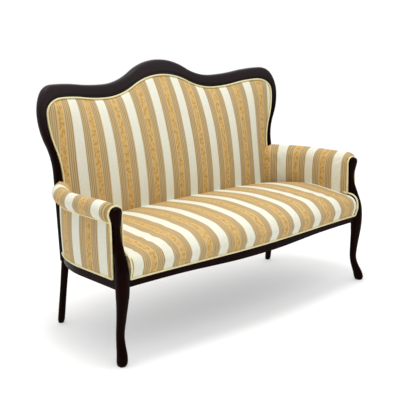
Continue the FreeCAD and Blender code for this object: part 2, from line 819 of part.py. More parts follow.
FRONT = (
    "(Sizes.front_rail_set + Sizes.front_rail_bow + Sizes.seat_overhang - Sizes.back_reach"
    " - tan(Sizes.back_rake * 1 deg) * (Sizes.crest_height - Sizes.rail_bottom - Sizes.rail_height)"
    " - Sizes.frame_thickness / cos(Sizes.back_rake * 1 deg)) / 2"
)
BOW_RADIUS = (
    "(Sizes.front_rail_half * Sizes.front_rail_half + Sizes.front_rail_bow * Sizes.front_rail_bow)"
    " / (2 * Sizes.front_rail_bow)"
)


def make_front_posts(size, holes):
    """Make both front posts, mortised for the rails."""
    right = add_shape("right_front_post", bored(front_post(size, 0), holes))
    return [right, add_mirror("left_front_post", right)]


def make_back_frame(size, ring, holes):
    """Split the back's ring into the crest rail and the two posts with their rear legs."""
    crest = ring.common(slab(size.crest_joint, size.crest_height + OVERCUT))
    crest_rail = add_shape("crest_rail", bored(crest, holes))
    stile = ring.common(box((0, -REACH, size.rail_bottom), (REACH, REACH, size.crest_joint)))
    post = stile.fuse(rear_leg(size))
    right = add_shape("right_back_post", bored(post, holes))
    return [crest_rail, right, add_mirror("left_back_post", right)]


def make_cross_rails(posts, ring, legs, holes):
    """Make the bowed front rail and the curved back rail, fitted between the posts."""
    front_blank = add_curved_rail(
        "front_rail", BOW_RADIUS, "Sizes.front_rail_thickness", "Sizes.post_out - Sizes.post_width / 4",
        f"{FRONT} - Sizes.front_rail_set - Sizes.front_rail_bow + {BOW_RADIUS}", 0,
    )
    back_blank = add_curved_rail(
        "back_rail", "(Sizes.back_radius + Sizes.back_rail_set + Sizes.back_rail_thickness)",
        "Sizes.back_rail_thickness", "Sizes.rail_post_half - Sizes.waist_band",
        f"{FRONT} + Sizes.back_reach - Sizes.back_radius", 180,
    )
    front_rail = add_cut("front_seat_rail", front_blank, [*posts, *holes])
    back_rail = add_cut("back_seat_rail", back_blank, [ring, *legs, *holes])
    return [front_rail, back_rail]


def make_side_rails(size, post, holes):
    """Make both side rails, which turn inward to the back posts."""
    rail = side_bar(size, 0, size.side_rail_thickness, size.rail_bottom, size.side_rail_top, 0)
    rail = largest(rail.cut([post, back_band(size, 0, REACH / 2)]))
    right = add_shape("right_seat_rail", bored(rail, holes))
    return [right, add_mirror("left_seat_rail", right)]


def make_arm_rails(size, post, holes):
    """Make the arm rails and the tacking rails below them."""
    nodes = []
    rails = (
        ("arm_rail", size.arm_rail_bottom, size.arm_rail_height, size.arm_rail_width),
        ("arm_tack_rail", size.tack_rail_bottom, size.tack_rail_height, size.hidden_rail_thickness),
    )
    for name, bottom, height, width in rails:
        start = post_back(size, bottom + height / 2) - size.front - size.frame_thickness / 4
        rail = side_bar(size, size.arm_lining - width, width, bottom, bottom + height, start)
        rail = largest(rail.cut([post, back_band(size, 0, REACH / 2)]))
        right = add_shape(f"right_{name}", bored(rail, holes))
        nodes += [right, add_mirror(f"left_{name}", right)]
    return nodes


def make_back_stays(size, ring, holes):
    """Make the lower back rail and the two uprights between it and the crest."""
    layer = back_band(size, size.ledge_depth, size.ledge_depth + size.hidden_rail_thickness)
    top = size.lower_back_rail_bottom + size.lower_back_rail_height
    lower = layer.common(slab(size.lower_back_rail_bottom, top))
    lower = lower.common(box((-size.waist_half, -REACH, 0), (size.waist_half, REACH, size.crest_height)))
    lower_rail = add_shape("lower_back_rail", bored(largest(lower.cut(ring)), holes))
    near = size.upright_half - size.upright_width / 2
    far = size.upright_half + size.upright_width / 2
    upright = layer.common(box((near, -REACH, top), (far, REACH, size.crest_height))).cut(ring)
    right = add_shape("right_back_upright", min(upright.Solids, key=lambda solid: solid.BoundBox.ZMin))
    return [lower_rail, right, add_mirror("left_back_upright", right)]


def make_braces(rails):
    """Make the two braces under the seat, fitted between the front and back rails."""
    blank = doc.addObject("Part::Box", "brace_blank")
    blank.setExpression("Length", "Sizes.brace_width")
    blank.setExpression("Width", "Sizes.back_reach + Sizes.front_rail_thickness / 2")
    blank.setExpression("Height", "Sizes.brace_height")
    blank.setExpression("Placement.Base.x", "Sizes.brace_half - Sizes.brace_width / 2")
    blank.setExpression("Placement.Base.y", f"{FRONT} - Sizes.front_rail_thickness / 2")
    blank.setExpression("Placement.Base.z", "Sizes.rail_bottom")
    doc.recompute()
    right = add_cut("right_seat_brace", blank, [rail.Shape for rail in rails])
    return [right, add_mirror("left_seat_brace", right)]


def make_corner_blocks(size, neighbours, holes):
    """Make the four corner blocks, shaped to the rails they brace."""
    low = size.rail_bottom + size.block_raise
    rear_x = size.rail_post_half - size.post_band / 2
    rear_y = back_y(size, rear_x - size.block_leg, size.rail_bottom) + size.back_rail_set + OVERCUT
    front_x = size.side_half - size.side_rail_thickness / 2
    corners = {
        "front": (front_x, size.front, 1),
        "rear": (rear_x, rear_y, -1),
    }
    nodes = []
    for name, (x, y, way) in corners.items():
        reach = size.block_leg + size.side_rail_thickness
        plan = (
            Vector(x + OVERCUT, y, low),
            Vector(x - reach, y, low),
            Vector(x + OVERCUT, y + way * reach, low),
        )
        block = polygon_face(plan).extrude(UP * size.block_height)
        block = largest(block.cut(neighbours))
        right = add_shape(f"right_{name}_corner_block", bored(block, holes))
        nodes += [right, add_mirror(f"left_{name}_corner_block", right)]
    return nodes


def make_fasteners(size):
    """Make the loose tenons and the corner block screws, one group each."""
    right_tenons = tenons(size, 0)
    right_screws = screws(size, 0, 0)
    tongues = Part.makeCompound(right_tenons + [mirrored(tenon) for tenon in right_tenons])
    driven = Part.makeCompound(right_screws + [mirrored(screw) for screw in right_screws])
    return [add_shape("loose_tenons", tongues), add_shape("corner_block_screws", driven)]


# Pieces of the upholstery


def make_seat_webbing(size):
    """Make the straps from front to back and, under them, the straps from side to side."""
    lengthwise = []
    for number in range(int(size.seat_strap_count)):
        x = (number - (size.seat_strap_count - 1) / 2) * size.seat_strap_pitch
        near = seat_front_y(size, x) + size.front_rail_thickness / 3
        far = back_y(size, x, size.rail_top) + size.back_rail_set + size.back_rail_thickness * 2 / 3
        low = (x - size.webbing_width / 2, near, size.rail_top)
        high = (x + size.webbing_width / 2, far, size.rail_top + size.webbing_thickness)
        lengthwise.append(box(low, high))
    crosswise = []
    radius = size.side_radius - size.side_rail_thickness / 3
    for number in range(int(size.cross_strap_count)):
        y = size.front + size.cross_strap_start + number * size.cross_strap_pitch
        past = max(y + size.webbing_width - size.turn_y, 0)
        half = size.turn_x + math.sqrt(radius**2 - past**2)
        top = size.side_rail_top + size.webbing_thickness
        crosswise.append(box((-half, y, size.side_rail_top), (half, y + size.webbing_width, top)))
    return [
        add_shape("seat_webbing_lengthwise", Part.makeCompound(lengthwise)),
        add_shape("seat_webbing_crosswise", Part.makeCompound(crosswise)),
    ]


def make_seat(size, posts, ring, pad, zones):
    """Make the seat's hessian, foam and cover between the arms, the posts and the back pad."""
    cloth_top = size.rail_top + size.webbing_thickness + size.hessian
    front_disc = Part.makeCylinder(
        size.rail_radius - size.front_rail_thickness / 3, 2 * size.crest_height, Vector(0, size.rail_centre, 0)
    )
    hessian = seat_plan(size, size.side_rail_thickness, cloth_top - size.hessian, cloth_top, 0)
    hessian = hessian.common(front_disc).cut([*posts, ring])
    room = seat_plan(size, size.arm_inside_inset + 1, 0, size.crest_height, 0)
    ears_back = size.front + size.arm_front - 1
    ears = box((-size.post_out, -REACH, 0), (size.post_out, ears_back, size.crest_height))
    room = room.fuse(ears).cut(zones)
    foam = seat_body(size, size.cloth + size.soft_clearance).common(slab(cloth_top, size.crest_height))
    foam = foam.common(room).cut([*posts, pad])
    cover = seat_body(size, 0).cut(seat_body(size, size.cloth)).common(room).cut([*posts, pad])
    return [
        add_shape("seat_hessian", largest(hessian)),
        add_shape("seat_foam", largest(foam)),
        add_shape("seat_cover", largest(cover)),
    ]


def make_seat_welt(size, posts):
    """Make the welt along the seat cover's lower front edge."""
    y = size.rail_centre - size.rail_radius - size.welt_diameter / 2 - size.soft_clearance
    start = Vector(0, y, size.welt_height)
    disc = Part.Face(ring_wire(start, Vector(1, 0, 0), size.welt_diameter, WELT_SIDES))
    angle = math.degrees(math.asin(size.front_rail_half / size.rail_radius)) + 0.2
    axis = Vector(0, size.rail_centre, 0)
    disc.rotate(axis, UP, -angle)
    welt = disc.revolve(axis, UP, 2 * angle).cut(posts)
    return [add_shape("seat_welt", largest(welt))]


def make_back(size, zones, mortises):
    """Make the back's webbing, hessian, foam, inside cover, welt and outside cover."""
    opening = inner_prism(size, -size.soft_clearance, size.lower_back_rail_bottom)
    strap_front = size.ledge_depth - size.webbing_thickness
    strap_layer = opening.common(back_band(size, strap_front, size.ledge_depth))
    straps = []
    for number in range(int(size.back_strap_count)):
        x = (number - (size.back_strap_count - 1) / 2) * size.back_strap_pitch
        half = size.webbing_width / 2
        straps += strap_layer.common(box((x - half, -REACH, 0), (x + half, REACH, 2 * REACH))).Solids
    strap_front = size.ledge_depth - size.webbing_thickness
    hessian = opening.common(back_band(size, strap_front - size.hessian, strap_front)).cut(mortises)
    pad_rear = strap_front - size.hessian - size.soft_clearance
    pad_room = inner_prism(size, -size.welt_diameter - 3 * size.soft_clearance, size.rail_bottom).cut(zones)
    foam = pad_room.common(back_body(size, pad_rear, size.cloth + size.soft_clearance))
    cover = pad_room.common(back_body(size, pad_rear, 0).cut(back_body(size, pad_rear, size.cloth)))
    outside = back_band(
        size, size.frame_thickness + size.soft_clearance, size.frame_thickness + size.soft_clearance + size.cloth
    )
    outside = outside.common(inner_prism(size, size.ledge_width, size.rail_bottom + size.ledge_width))
    return [
        add_shape("back_webbing", Part.makeCompound(straps)),
        add_shape("back_hessian", largest(hessian)),
        add_shape("back_foam", largest(foam)),
        add_shape("back_cover", largest(cover)),
        add_shape("back_welt", back_welt(size)),
        add_shape("outside_back_cover", largest(outside)),
    ]


def arm_zone(size):
    """Make the space of the right arm's rails and hessian with a clearance round them."""
    gap = size.soft_clearance
    width = size.arm_rail_width + size.hessian + 2 * gap
    high = size.arm_rail_bottom + size.arm_rail_height + gap
    return side_bar(size, size.arm_rail_inset - gap, width, size.tack_rail_bottom - gap, high, 0)


def make_arms(size, post, pad):
    """Make each arm's hessian, foam, cover, outside cover and welts."""
    stop = back_band(size, -size.soft_clearance, REACH / 2)
    inner_stop = back_band(size, -size.soft_clearance - size.cloth, REACH / 2)
    lining = side_bar(
        size, size.arm_lining, size.hessian, size.tack_rail_bottom,
        size.arm_rail_bottom + size.arm_rail_height / 2, 2 * size.arm_front,
    )
    gap = size.soft_clearance
    rail = side_bar(
        size, size.arm_rail_inset - gap, size.arm_rail_width + 2 * gap, size.arm_rail_bottom - gap,
        size.arm_rail_bottom + size.arm_rail_height + gap, 0,
    )
    foam = arm_body(size, size.cloth + gap).cut([post, pad, inner_stop, rail])
    inside = arm_body(size, size.cloth).cut(inner_stop)
    cover = arm_body(size, 0).cut([inside, post, pad, stop, rail])
    outside = side_bar(
        size, -gap - size.cloth, size.cloth, size.seat_cover_bottom, size.arm_seam_height - gap, size.arm_front
    )
    outside = outside.cut([post, stop])
    welt_x = size.side_half + gap + size.cloth + size.welt_diameter / 2
    welt_z = size.arm_seam_height - size.welt_diameter / 2 - gap
    roll_welt = side_welt(size, welt_x, welt_z).cut([post, stop])
    rail_welt = side_welt(size, size.side_half + size.welt_diameter / 2, size.welt_height).cut([post, stop])
    front_welt = post_welt(size).cut(post)
    shapes = {
        "arm_hessian": lining.cut([post, stop]),
        "arm_foam": foam,
        "arm_cover": cover,
        "outside_arm_cover": outside,
        "arm_roll_welt": roll_welt,
        "arm_front_welt": front_welt,
        "side_rail_welt": rail_welt,
    }
    nodes = []
    for name, shape in shapes.items():
        right = add_shape(f"right_{name}", largest(shape))
        nodes += [right, add_mirror(f"left_{name}", right)]
    return nodes


def make_dust_cover(size, posts, legs):
    """Make the thin cloth stapled under the seat rails."""
    low = size.rail_bottom - size.dust_cover
    sheet = seat_plan(size, size.dust_cover_inset, low, size.rail_bottom, -size.frame_thickness / 2)
    disc = Part.makeCylinder(
        size.rail_radius - size.dust_cover_inset, 2 * size.crest_height, Vector(0, size.rail_centre, 0)
    )
    return [add_shape("dust_cover", largest(sheet.common(disc).cut([*posts, *legs])))]


def main():
    """Build every piece and write the files."""
    size = read_sizes(make_sheet())
    post = front_post(size, 0)
    posts = [post, mirrored(post)]
    soft_post = front_post(size, size.soft_clearance)
    soft_posts = [soft_post, mirrored(soft_post)]
    ring = back_ring(size)
    mortises = tenons(size, size.joint_clearance)
    mortises += [mirrored(mortise) for mortise in mortises]
    screw_holes = screws(size, size.joint_clearance, size.block_leg)
    screw_holes += [mirrored(hole) for hole in screw_holes]
    holes = mortises + screw_holes

    nodes = make_front_posts(size, mortises)
    nodes += make_back_frame(size, ring, mortises)
    leg = rear_leg(size)
    legs = [leg, mirrored(leg)]
    cross_rails = make_cross_rails(posts, ring, legs, holes)
    doc.recompute()
    side_rails = make_side_rails(size, post, holes)
    nodes += cross_rails + side_rails
    nodes += make_arm_rails(size, post, mortises)
    nodes += make_back_stays(size, ring, mortises)
    nodes += make_braces(cross_rails)
    neighbours = [post, ring, side_rails[0].Shape] + [rail.Shape for rail in cross_rails]
    nodes += make_corner_blocks(size, neighbours, holes)
    nodes += make_fasteners(size)
    pad = back_body(size, size.ledge_depth, -size.soft_clearance - size.cloth)
    nodes += make_seat_webbing(size)
    zone = arm_zone(size)
    zones = [zone, mirrored(zone)]
    nodes += make_seat(size, soft_posts, ring, pad, zones)
    nodes += make_seat_welt(size, soft_posts)
    nodes += make_back(size, zones, mortises)
    nodes += make_arms(size, soft_post, pad)
    nodes += make_dust_cover(size, soft_posts, legs)
    export(nodes)


main()
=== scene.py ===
"""Looks of a show-wood settee with a serpentine crest rail and striped damask upholstery."""

import json
import logging
import math
from dataclasses import dataclass
from enum import Enum
from functools import partial
from typing import Callable, Sequence

import bmesh
import bpy
from mathutils import Matrix, Vector


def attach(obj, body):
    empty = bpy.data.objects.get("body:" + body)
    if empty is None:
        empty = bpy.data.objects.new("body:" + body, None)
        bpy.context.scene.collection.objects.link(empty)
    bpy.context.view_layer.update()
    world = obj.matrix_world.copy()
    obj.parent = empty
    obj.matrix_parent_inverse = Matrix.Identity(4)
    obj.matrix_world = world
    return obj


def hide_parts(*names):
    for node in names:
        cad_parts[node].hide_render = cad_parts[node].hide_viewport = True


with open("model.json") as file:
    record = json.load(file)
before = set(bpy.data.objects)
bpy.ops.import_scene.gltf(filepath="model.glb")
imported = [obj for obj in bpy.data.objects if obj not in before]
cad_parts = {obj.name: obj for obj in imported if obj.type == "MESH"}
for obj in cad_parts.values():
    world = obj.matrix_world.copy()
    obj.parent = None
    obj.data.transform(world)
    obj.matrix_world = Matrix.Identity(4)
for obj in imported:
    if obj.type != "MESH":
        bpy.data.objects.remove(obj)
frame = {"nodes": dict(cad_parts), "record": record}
logger = logging.getLogger("settee")

Row = list[Vector]
Flat = tuple[float, float]
Places = Sequence[Sequence[Flat]]
Colour = tuple[float, float, float]
Scale = tuple[float, float, float]


class Side(Enum):
    """The settee's two sides, with the sign of their X."""

    LEFT = -1
    RIGHT = 1

    @property
    def word(self) -> str:
        """Give the side's name as the nodes use it."""
        return self.name.lower()


class Slot(str, Enum):
    """Material slots of the record."""

    SHOW_WOOD = "dark_polished_wood"
    BEECH = "beech_frame"
    STEEL = "steel_screws"
    WEBBING = "jute_webbing"
    HESSIAN = "hessian"
    FOAM = "upholstery_foam"
    DAMASK = "striped_damask"
    WELT = "cord_welt"
    DUST = "dust_cloth"


@dataclass(frozen=True)
class Sizes:
    """The settee's main sizes in metres, close to those of its solids."""

    crest_height: float = 1.006
    dip_height: float = 0.923
    shoulder_height: float = 0.943
    widest_height: float = 0.832
    waist_height: float = 0.612
    dip_half: float = 0.295
    shoulder_half: float = 0.562
    inner_shoulder_half: float = 0.532
    widest_half: float = 0.643
    waist_half: float = 0.594
    rail_post_half: float = 0.608
    crest_band: float = 0.061
    dip_band: float = 0.051
    shoulder_band: float = 0.050
    stile_band: float = 0.032
    waist_band: float = 0.028
    ledge_width: float = 0.012
    crest_joint: float = 0.790
    frame_thickness: float = 0.034
    back_radius: float = 2.8
    back_rake: float = 5.6
    back_reach: float = 0.498
    rail_bottom: float = 0.270
    rail_height: float = 0.075
    front_rail_thickness: float = 0.028
    front_rail_set: float = 0.016
    front_rail_bow: float = 0.026
    front_rail_half: float = 0.622
    front_rail_arch: float = 0.008
    side_half: float = 0.660
    side_rail_thickness: float = 0.025
    side_rail_drop: float = 0.002
    side_straight: float = 0.230
    side_radius: float = 0.400
    post_out: float = 0.646
    post_width: float = 0.048
    post_depth: float = 0.044
    post_top: float = 0.564
    rear_foot_out: float = 0.597
    rear_foot_reach: float = 0.492
    rear_leg_diameter: float = 0.028
    rear_foot_diameter: float = 0.022
    rear_leg_top_diameter: float = 0.032
    seat_overhang: float = 0.015
    seat_nose_run: float = 0.062
    seat_nose_height: float = 0.410
    seat_crown_height: float = 0.432
    seat_rear_height: float = 0.414
    seat_end_drop: float = 0.010
    seat_cover_bottom: float = 0.312
    seat_wall_height: float = 0.048
    back_pad_bottom: float = 0.356
    back_crown: float = 0.070
    arm_front: float = 0.026
    arm_seam_height: float = 0.513
    arm_seam_out: float = 0.012
    arm_roll_height: float = 0.580
    arm_roll_out: float = 0.030
    arm_roll_top_inset: float = 0.000
    arm_inside_inset: float = 0.043
    arm_lining: float = 0.031
    arm_pad_bottom: float = 0.356
    cloth: float = 0.002
    welt_diameter: float = 0.007
    welt_height: float = 0.308

    @property
    def slope(self) -> float:
        """Give how far the back leans for each unit of height."""
        return math.tan(math.radians(self.back_rake))

    @property
    def upright(self) -> float:
        """Give the cosine of the back's rake."""
        return math.cos(math.radians(self.back_rake))

    @property
    def rail_top(self) -> float:
        """Give the height of the rails' top."""
        return self.rail_bottom + self.rail_height

    @property
    def front(self) -> float:
        """Give the depth of the line through the front posts.

        Returns:
            The place along Y.
        """
        crest_rear = self.back_reach + self.slope * (self.crest_height - self.rail_top)
        crest_rear += self.frame_thickness / self.upright
        return (self.front_rail_set + self.front_rail_bow + self.seat_overhang - crest_rear) / 2

    @property
    def turn(self) -> Flat:
        """Give the centre of the right side's turn."""
        return self.side_half - self.side_radius, self.front + self.side_straight

    def back_y(self, x: float, z: float, depth: float = 0.0) -> float:
        """Give the depth of the back frame's face, or of a layer behind it.

        Args:
            x: place across.
            z: height.
            depth: distance behind the face.

        Returns:
            The place along Y.
        """
        swing = math.sqrt((self.back_radius + depth) ** 2 - x**2) - self.back_radius
        return self.front + self.back_reach + swing / self.upright + self.slope * (z - self.rail_top)

    def seat_front_y(self, x: float) -> float:
        """Give the depth of the front rail's face, which swings forward in the middle."""
        swing = (1 + math.cos(math.pi * min(abs(x) / self.front_rail_half, 1.0))) / 2
        return self.front - self.front_rail_set - self.front_rail_bow * swing

    def front_rail_low(self, x: float) -> float:
        """Give the height of the front rail's lower edge, which rises away from the middle."""
        return self.rail_bottom + self.front_rail_arch * smoothstep(0.05, 0.42, abs(x))

    def side_place(self, length: float, inset: float) -> Flat:
        """Give the plan of a line that runs along the right side.

        Args:
            length: way along the side from the line of the front posts.
            inset: distance inward from the side.

        Returns:
            Place along X and Y.
        """
        turn_x, turn_y = self.turn
        if length <= self.side_straight:
            return self.side_half - inset, self.front + length
        angle = (length - self.side_straight) / self.side_radius
        radius = self.side_radius - inset
        return turn_x + radius * math.cos(angle), turn_y + radius * math.sin(angle)

    def side_length(self, inset: float, z: float, gap: float) -> float:
        """Find the length at which a line along the right side reaches the back frame.

        Args:
            inset: distance inward from the side.
            z: height.
            gap: distance to keep from the frame.

        Returns:
            The way along the side from the line of the front posts.
        """
        low = self.side_straight
        high = self.side_straight + self.side_radius
        for _ in range(30):
            middle = (low + high) / 2
            x, y = self.side_place(middle, inset)
            if y < self.back_y(x, z) - gap:
                low = middle
            else:
                high = middle
        return low


SIZES = Sizes()
ACROSS = (1.0, 0.0)
DOWN = (0.0, -1.0)

# Gaps that keep pieces apart: against cloth or wood, at a seam and at the back frame
HAIR_GAP = 0.0003
SEAM_GAP = 0.0008
BACK_GAP = 0.004

# How far the seat's ends are drawn down
SEAT_TUCK = 0.009

# Front post from foot to top: share of the height, side shift, forward shift, share of width and depth
LEG_STATIONS = (
    (0.00, 0.021, 0.012, 0.54, 0.68),
    (0.05, 0.019, 0.013, 0.70, 0.90),
    (0.14, 0.015, 0.009, 0.71, 0.86),
    (0.27, 0.009, -0.004, 0.65, 0.64),
    (0.40, 0.005, -0.010, 0.62, 0.57),
    (0.61, 0.002, -0.004, 0.71, 0.68),
    (0.80, 0.001, 0.003, 0.83, 0.82),
    (0.97, 0.000, 0.007, 0.97, 0.96),
)
STUMP_STATIONS = (
    (0.15, 0.000, 0.008, 0.98, 0.98),
    (0.30, -0.001, 0.005, 0.89, 0.90),
    (0.46, -0.004, -0.008, 0.71, 0.77),
    (0.61, -0.006, -0.021, 0.57, 0.68),
    (0.73, -0.006, -0.026, 0.62, 0.71),
    (0.85, -0.004, -0.026, 0.90, 0.96),
    (0.925, -0.003, -0.024, 0.99, 1.05),
    (0.968, -0.003, -0.023, 0.86, 0.92),
    (0.985, -0.003, -0.023, 0.56, 0.64),
)

# Where the first whole gold stripe lies along each arm, and how the cloth is drawn there
ARM_GOLD = {Side.LEFT: 0.155, Side.RIGHT: 0.166}
ARM_PULL = 0.838

# Back pad from foot to top: share of the height, share of the full crown
BACK_SWELL = ((0.0, 0.8), (0.2, 1.0), (0.5, 0.9), (0.8, 0.45), (1.0, 0.05))


# Lines


def smoothstep(low: float, high: float, value: float) -> float:
    """Blend from 0 to 1 between two values."""
    share = min(max((value - low) / (high - low), 0.0), 1.0)
    return share * share * (3 - 2 * share)


def arc_flat(start: Flat, way: Flat, end: Flat, count: int) -> list[Flat]:
    """List points on the arc that leaves a point in a direction and ends at another.

    Args:
        start: first point.
        way: direction at the first point, of length 1.
        end: last point.
        count: number of steps.

    Returns:
        The points without the last one.
    """
    chord = (end[0] - start[0], end[1] - start[1])
    length = math.hypot(*chord)
    turn = math.atan2(way[0] * chord[1] - way[1] * chord[0], way[0] * chord[0] + way[1] * chord[1])
    points = []
    for step in range(count):
        share = step / count
        reach = length * share if abs(turn) < 1e-6 else length * math.sin(turn * share) / math.sin(turn)
        cosine = math.cos(turn * share)
        sine = math.sin(turn * share)
        points.append(
            (
                start[0] + reach * (way[0] * cosine - way[1] * sine),
                start[1] + reach * (way[0] * sine + way[1] * cosine),
            )
        )
    return points


def biarc_flat(start: Flat, start_way: Flat, end: Flat, end_way: Flat, count: int) -> list[Flat]:
    """List points on two arcs that join two places with given directions.

    Args:
        start: first point.
        start_way: direction at the first point, of length 1.
        end: last point.
        end_way: direction at the last point, of length 1.
        count: number of steps on each arc.

    Returns:
        The points without the last one.
    """
    chord = (end[0] - start[0], end[1] - start[1])
    square = chord[0] ** 2 + chord[1] ** 2
    spread = 2 * (1 - start_way[0] * end_way[0] - start_way[1] * end_way[1])
    lean = chord[0] * (start_way[0] + end_way[0]) + chord[1] * (start_way[1] + end_way[1])
    if spread < 1e-9:
        reach = square / (2 * lean)
    else:
        reach = (-lean + math.sqrt(lean**2 + spread * square)) / spread
    middle = (
        (start[0] + end[0] + (start_way[0] - end_way[0]) * reach) / 2,
        (start[1] + end[1] + (start_way[1] - end_way[1]) * reach) / 2,
    )
    ahead = (middle[0] - start[0] - start_way[0] * reach, middle[1] - start[1] - start_way[1] * reach)
    norm = math.hypot(*ahead)
    middle_way = (ahead[0] / norm, ahead[1] / norm)
    return arc_flat(start, start_way, middle, count) + arc_flat(middle, middle_way, end, count)


def circle_flat(start: Flat, middle: Flat, end: Flat, count: int) -> list[Flat]:
    """List points on the arc through three points.

    Args:
        start: first point.
        middle: any point between.
        end: last point.
        count: number of steps.

    Returns:
        The points with both ends.
    """
    (ax, ay), (bx, by), (cx, cy) = start, middle, end
    area = 2 * (ax * (by - cy) + bx * (cy - ay) + cx * (ay - by))
    sums = (ax**2 + ay**2, bx**2 + by**2, cx**2 + cy**2)
    centre_x = (sums[0] * (by - cy) + sums[1] * (cy - ay) + sums[2] * (ay - by)) / area
    centre_y = (sums[0] * (cx - bx) + sums[1] * (ax - cx) + sums[2] * (bx - ax)) / area
    radius = math.hypot(ax - centre_x, ay - centre_y)
    first = math.atan2(ay - centre_y, ax - centre_x)
    full = 2 * math.pi
    last = (math.atan2(cy - centre_y, cx - centre_x) - first) % full
    if (math.atan2(by - centre_y, bx - centre_x) - first) % full > last:
        last -= full
    angles = [first + last * step / count for step in range(count + 1)]
    return [(centre_x + radius * math.cos(angle), centre_y + radius * math.sin(angle)) for angle in angles]


def run_lengths(points: Sequence[Flat]) -> list[float]:
    """List the length of a line up to each of its points.

    Args:
        points: corners of the line.

    Returns:
        The lengths, beginning with 0.
    """
    lengths = [0.0]
    for before, after in zip(points, points[1:]):
        lengths.append(lengths[-1] + math.dist(before, after))
    return lengths


def resample(points: Sequence[Flat], count: int) -> list[Flat]:
    """Spread a number of points evenly along a line.

    Args:
        points: corners of the line.
        count: number of points to spread.

    Returns:
        The points with both ends.
    """
    lengths = run_lengths(points)
    spread = []
    index = 0
    for step in range(count):
        target = lengths[-1] * step / (count - 1)
        while index < len(points) - 2 and lengths[index + 1] < target:
            index += 1
        share = (target - lengths[index]) / max(lengths[index + 1] - lengths[index], 1e-12)
        spread.append(tuple(a + (b - a) * share for a, b in zip(points[index], points[index + 1])))
    return spread


def smooth_value(before: float, start: float, end: float, after: float, share: float) -> float:
    """Give a value between the two middle ones of four, on a smooth curve through them.

    Args:
        before: first value.
        start: second value, given at a share of 0.
        end: third value, given at a share of 1.
        after: fourth value.
        share: place between the middle two.

    Returns:
        The value.
    """
    slope = (end - before) / 2
    bend = before - 2.5 * start + 2 * end - after / 2
    twist = 1.5 * (start - end) + (after - before) / 2
    return start + share * (slope + share * (bend + share * twist))


def blend_stations(stations: Sequence[Sequence[float]], per_span: int) -> list[list[float]]:
    """Fill in between stations on a smooth curve through them.

    Args:
        stations: rows of values.
        per_span: number of rows from one station to the next.

    Returns:
        The filled rows, the stations among them.
    """
    padded = [stations[0], *stations, stations[-1]]
    filled = []
    for spans in zip(padded, padded[1:], padded[2:], padded[3:]):
        for step in range(per_span):
            share = step / per_span
            filled.append([smooth_value(*values, share) for values in zip(*spans)])
    return [*filled, list(stations[-1])]


def read_line(line: Sequence[Sequence[float]], place: float) -> float:
    """Read the value at a place from a line of places and values.

    Args:
        line: places in rising order, each with its value.
        place: where to read.

    Returns:
        The value, straight between the two nearest places.
    """
    for (low, value), (high, next_value) in zip(line, line[1:]):
        if place <= high:
            return value + (next_value - value) * (place - low) / (high - low)
    return line[-1][1]


@dataclass(frozen=True)
class BackOutline:
    """One outline of the back frame, seen from the front, with its corner between top and side."""

    stops: tuple[tuple[float, float, Flat], ...]
    foot: Flat
    arc_points: int = 14

    def half(self) -> tuple[list[Flat], list[Flat]]:
        """Give the right half in two: the top up to the shoulder's corner, and the side below.

        Returns:
            The points of the top and those of the side.
        """
        arcs: list[Flat] = []
        for (x, z, way), (next_x, next_z, next_way) in zip(self.stops, self.stops[1:]):
            arcs += biarc_flat((x, z), way, (next_x, next_z), next_way, self.arc_points)
        corner = 5 * self.arc_points
        last = self.stops[-1][:2]
        return arcs[: corner + 1], [*arcs[corner:], last, self.foot]

    def stations(self, top_count: int, side_count: int) -> list[Flat]:
        """List the whole outline from the left foot over the crest to the right foot.

        Args:
            top_count: number of points on half of the top.
            side_count: number of points on each side.

        Returns:
            The points.
        """
        top, side = self.half()
        right = resample(top, top_count) + resample(side, side_count)[1:]
        return [(-x, z) for x, z in reversed(right[1:])] + right


def outer_outline() -> BackOutline:
    """Give the frame's outer outline.

    Returns:
        The outline of crest and stiles.
    """
    s = SIZES
    stops = (
        (0.0, s.crest_height, ACROSS),
        (s.dip_half, s.dip_height, ACROSS),
        (s.shoulder_half, s.shoulder_height, ACROSS),
        (s.widest_half, s.widest_height, DOWN),
        (s.waist_half, s.waist_height, DOWN),
    )
    return BackOutline(stops, (s.rail_post_half, s.rail_bottom))


def inner_outline(offset: float, foot_z: float) -> BackOutline:
    """Give the frame's visible inner outline.

    Args:
        offset: distance to move it outward.
        foot_z: height of its lower ends.

    Returns:
        The outline.
    """
    s = SIZES
    waist_x = s.waist_half - s.waist_band
    waist_z = s.waist_height - s.waist_band
    spread = (s.rail_post_half - s.waist_half) / (waist_z - s.rail_bottom)
    stops = (
        (0.0, s.crest_height - s.crest_band + offset, ACROSS),
        (s.dip_half, s.dip_height - s.dip_band + offset, ACROSS),
        (s.inner_shoulder_half, s.shoulder_height - s.shoulder_band + offset, ACROSS),
        (s.widest_half - s.stile_band + offset, s.widest_height, DOWN),
        (waist_x + offset, waist_z, DOWN),
    )
    return BackOutline(stops, (waist_x + offset + spread * (waist_z - foot_z), foot_z))


# Meshes


def new_piece(name: str, mesh: bpy.types.Mesh) -> bpy.types.Object:
    """Put a mesh into the scene as a piece at the origin.

    Args:
        name: name of the piece.
        mesh: its mesh.

    Returns:
        The piece.
    """
    piece = bpy.data.objects.new(name, mesh)
    bpy.context.scene.collection.objects.link(piece)
    return piece


def finish_mesh(mesh: bpy.types.Mesh, sharp: float) -> None:
    """Turn a closed mesh's faces outward and shade it smooth.

    Args:
        mesh: the mesh.
        sharp: angle in degrees from which an edge stays sharp.
    """
    shell = bmesh.new()
    shell.from_mesh(mesh)
    bmesh.ops.remove_doubles(shell, verts=shell.verts, dist=1e-6)
    bmesh.ops.recalc_face_normals(shell, faces=shell.faces)
    shell.to_mesh(mesh)
    shell.free()
    mesh.shade_smooth()
    mesh.set_sharp_from_angle(angle=math.radians(sharp))


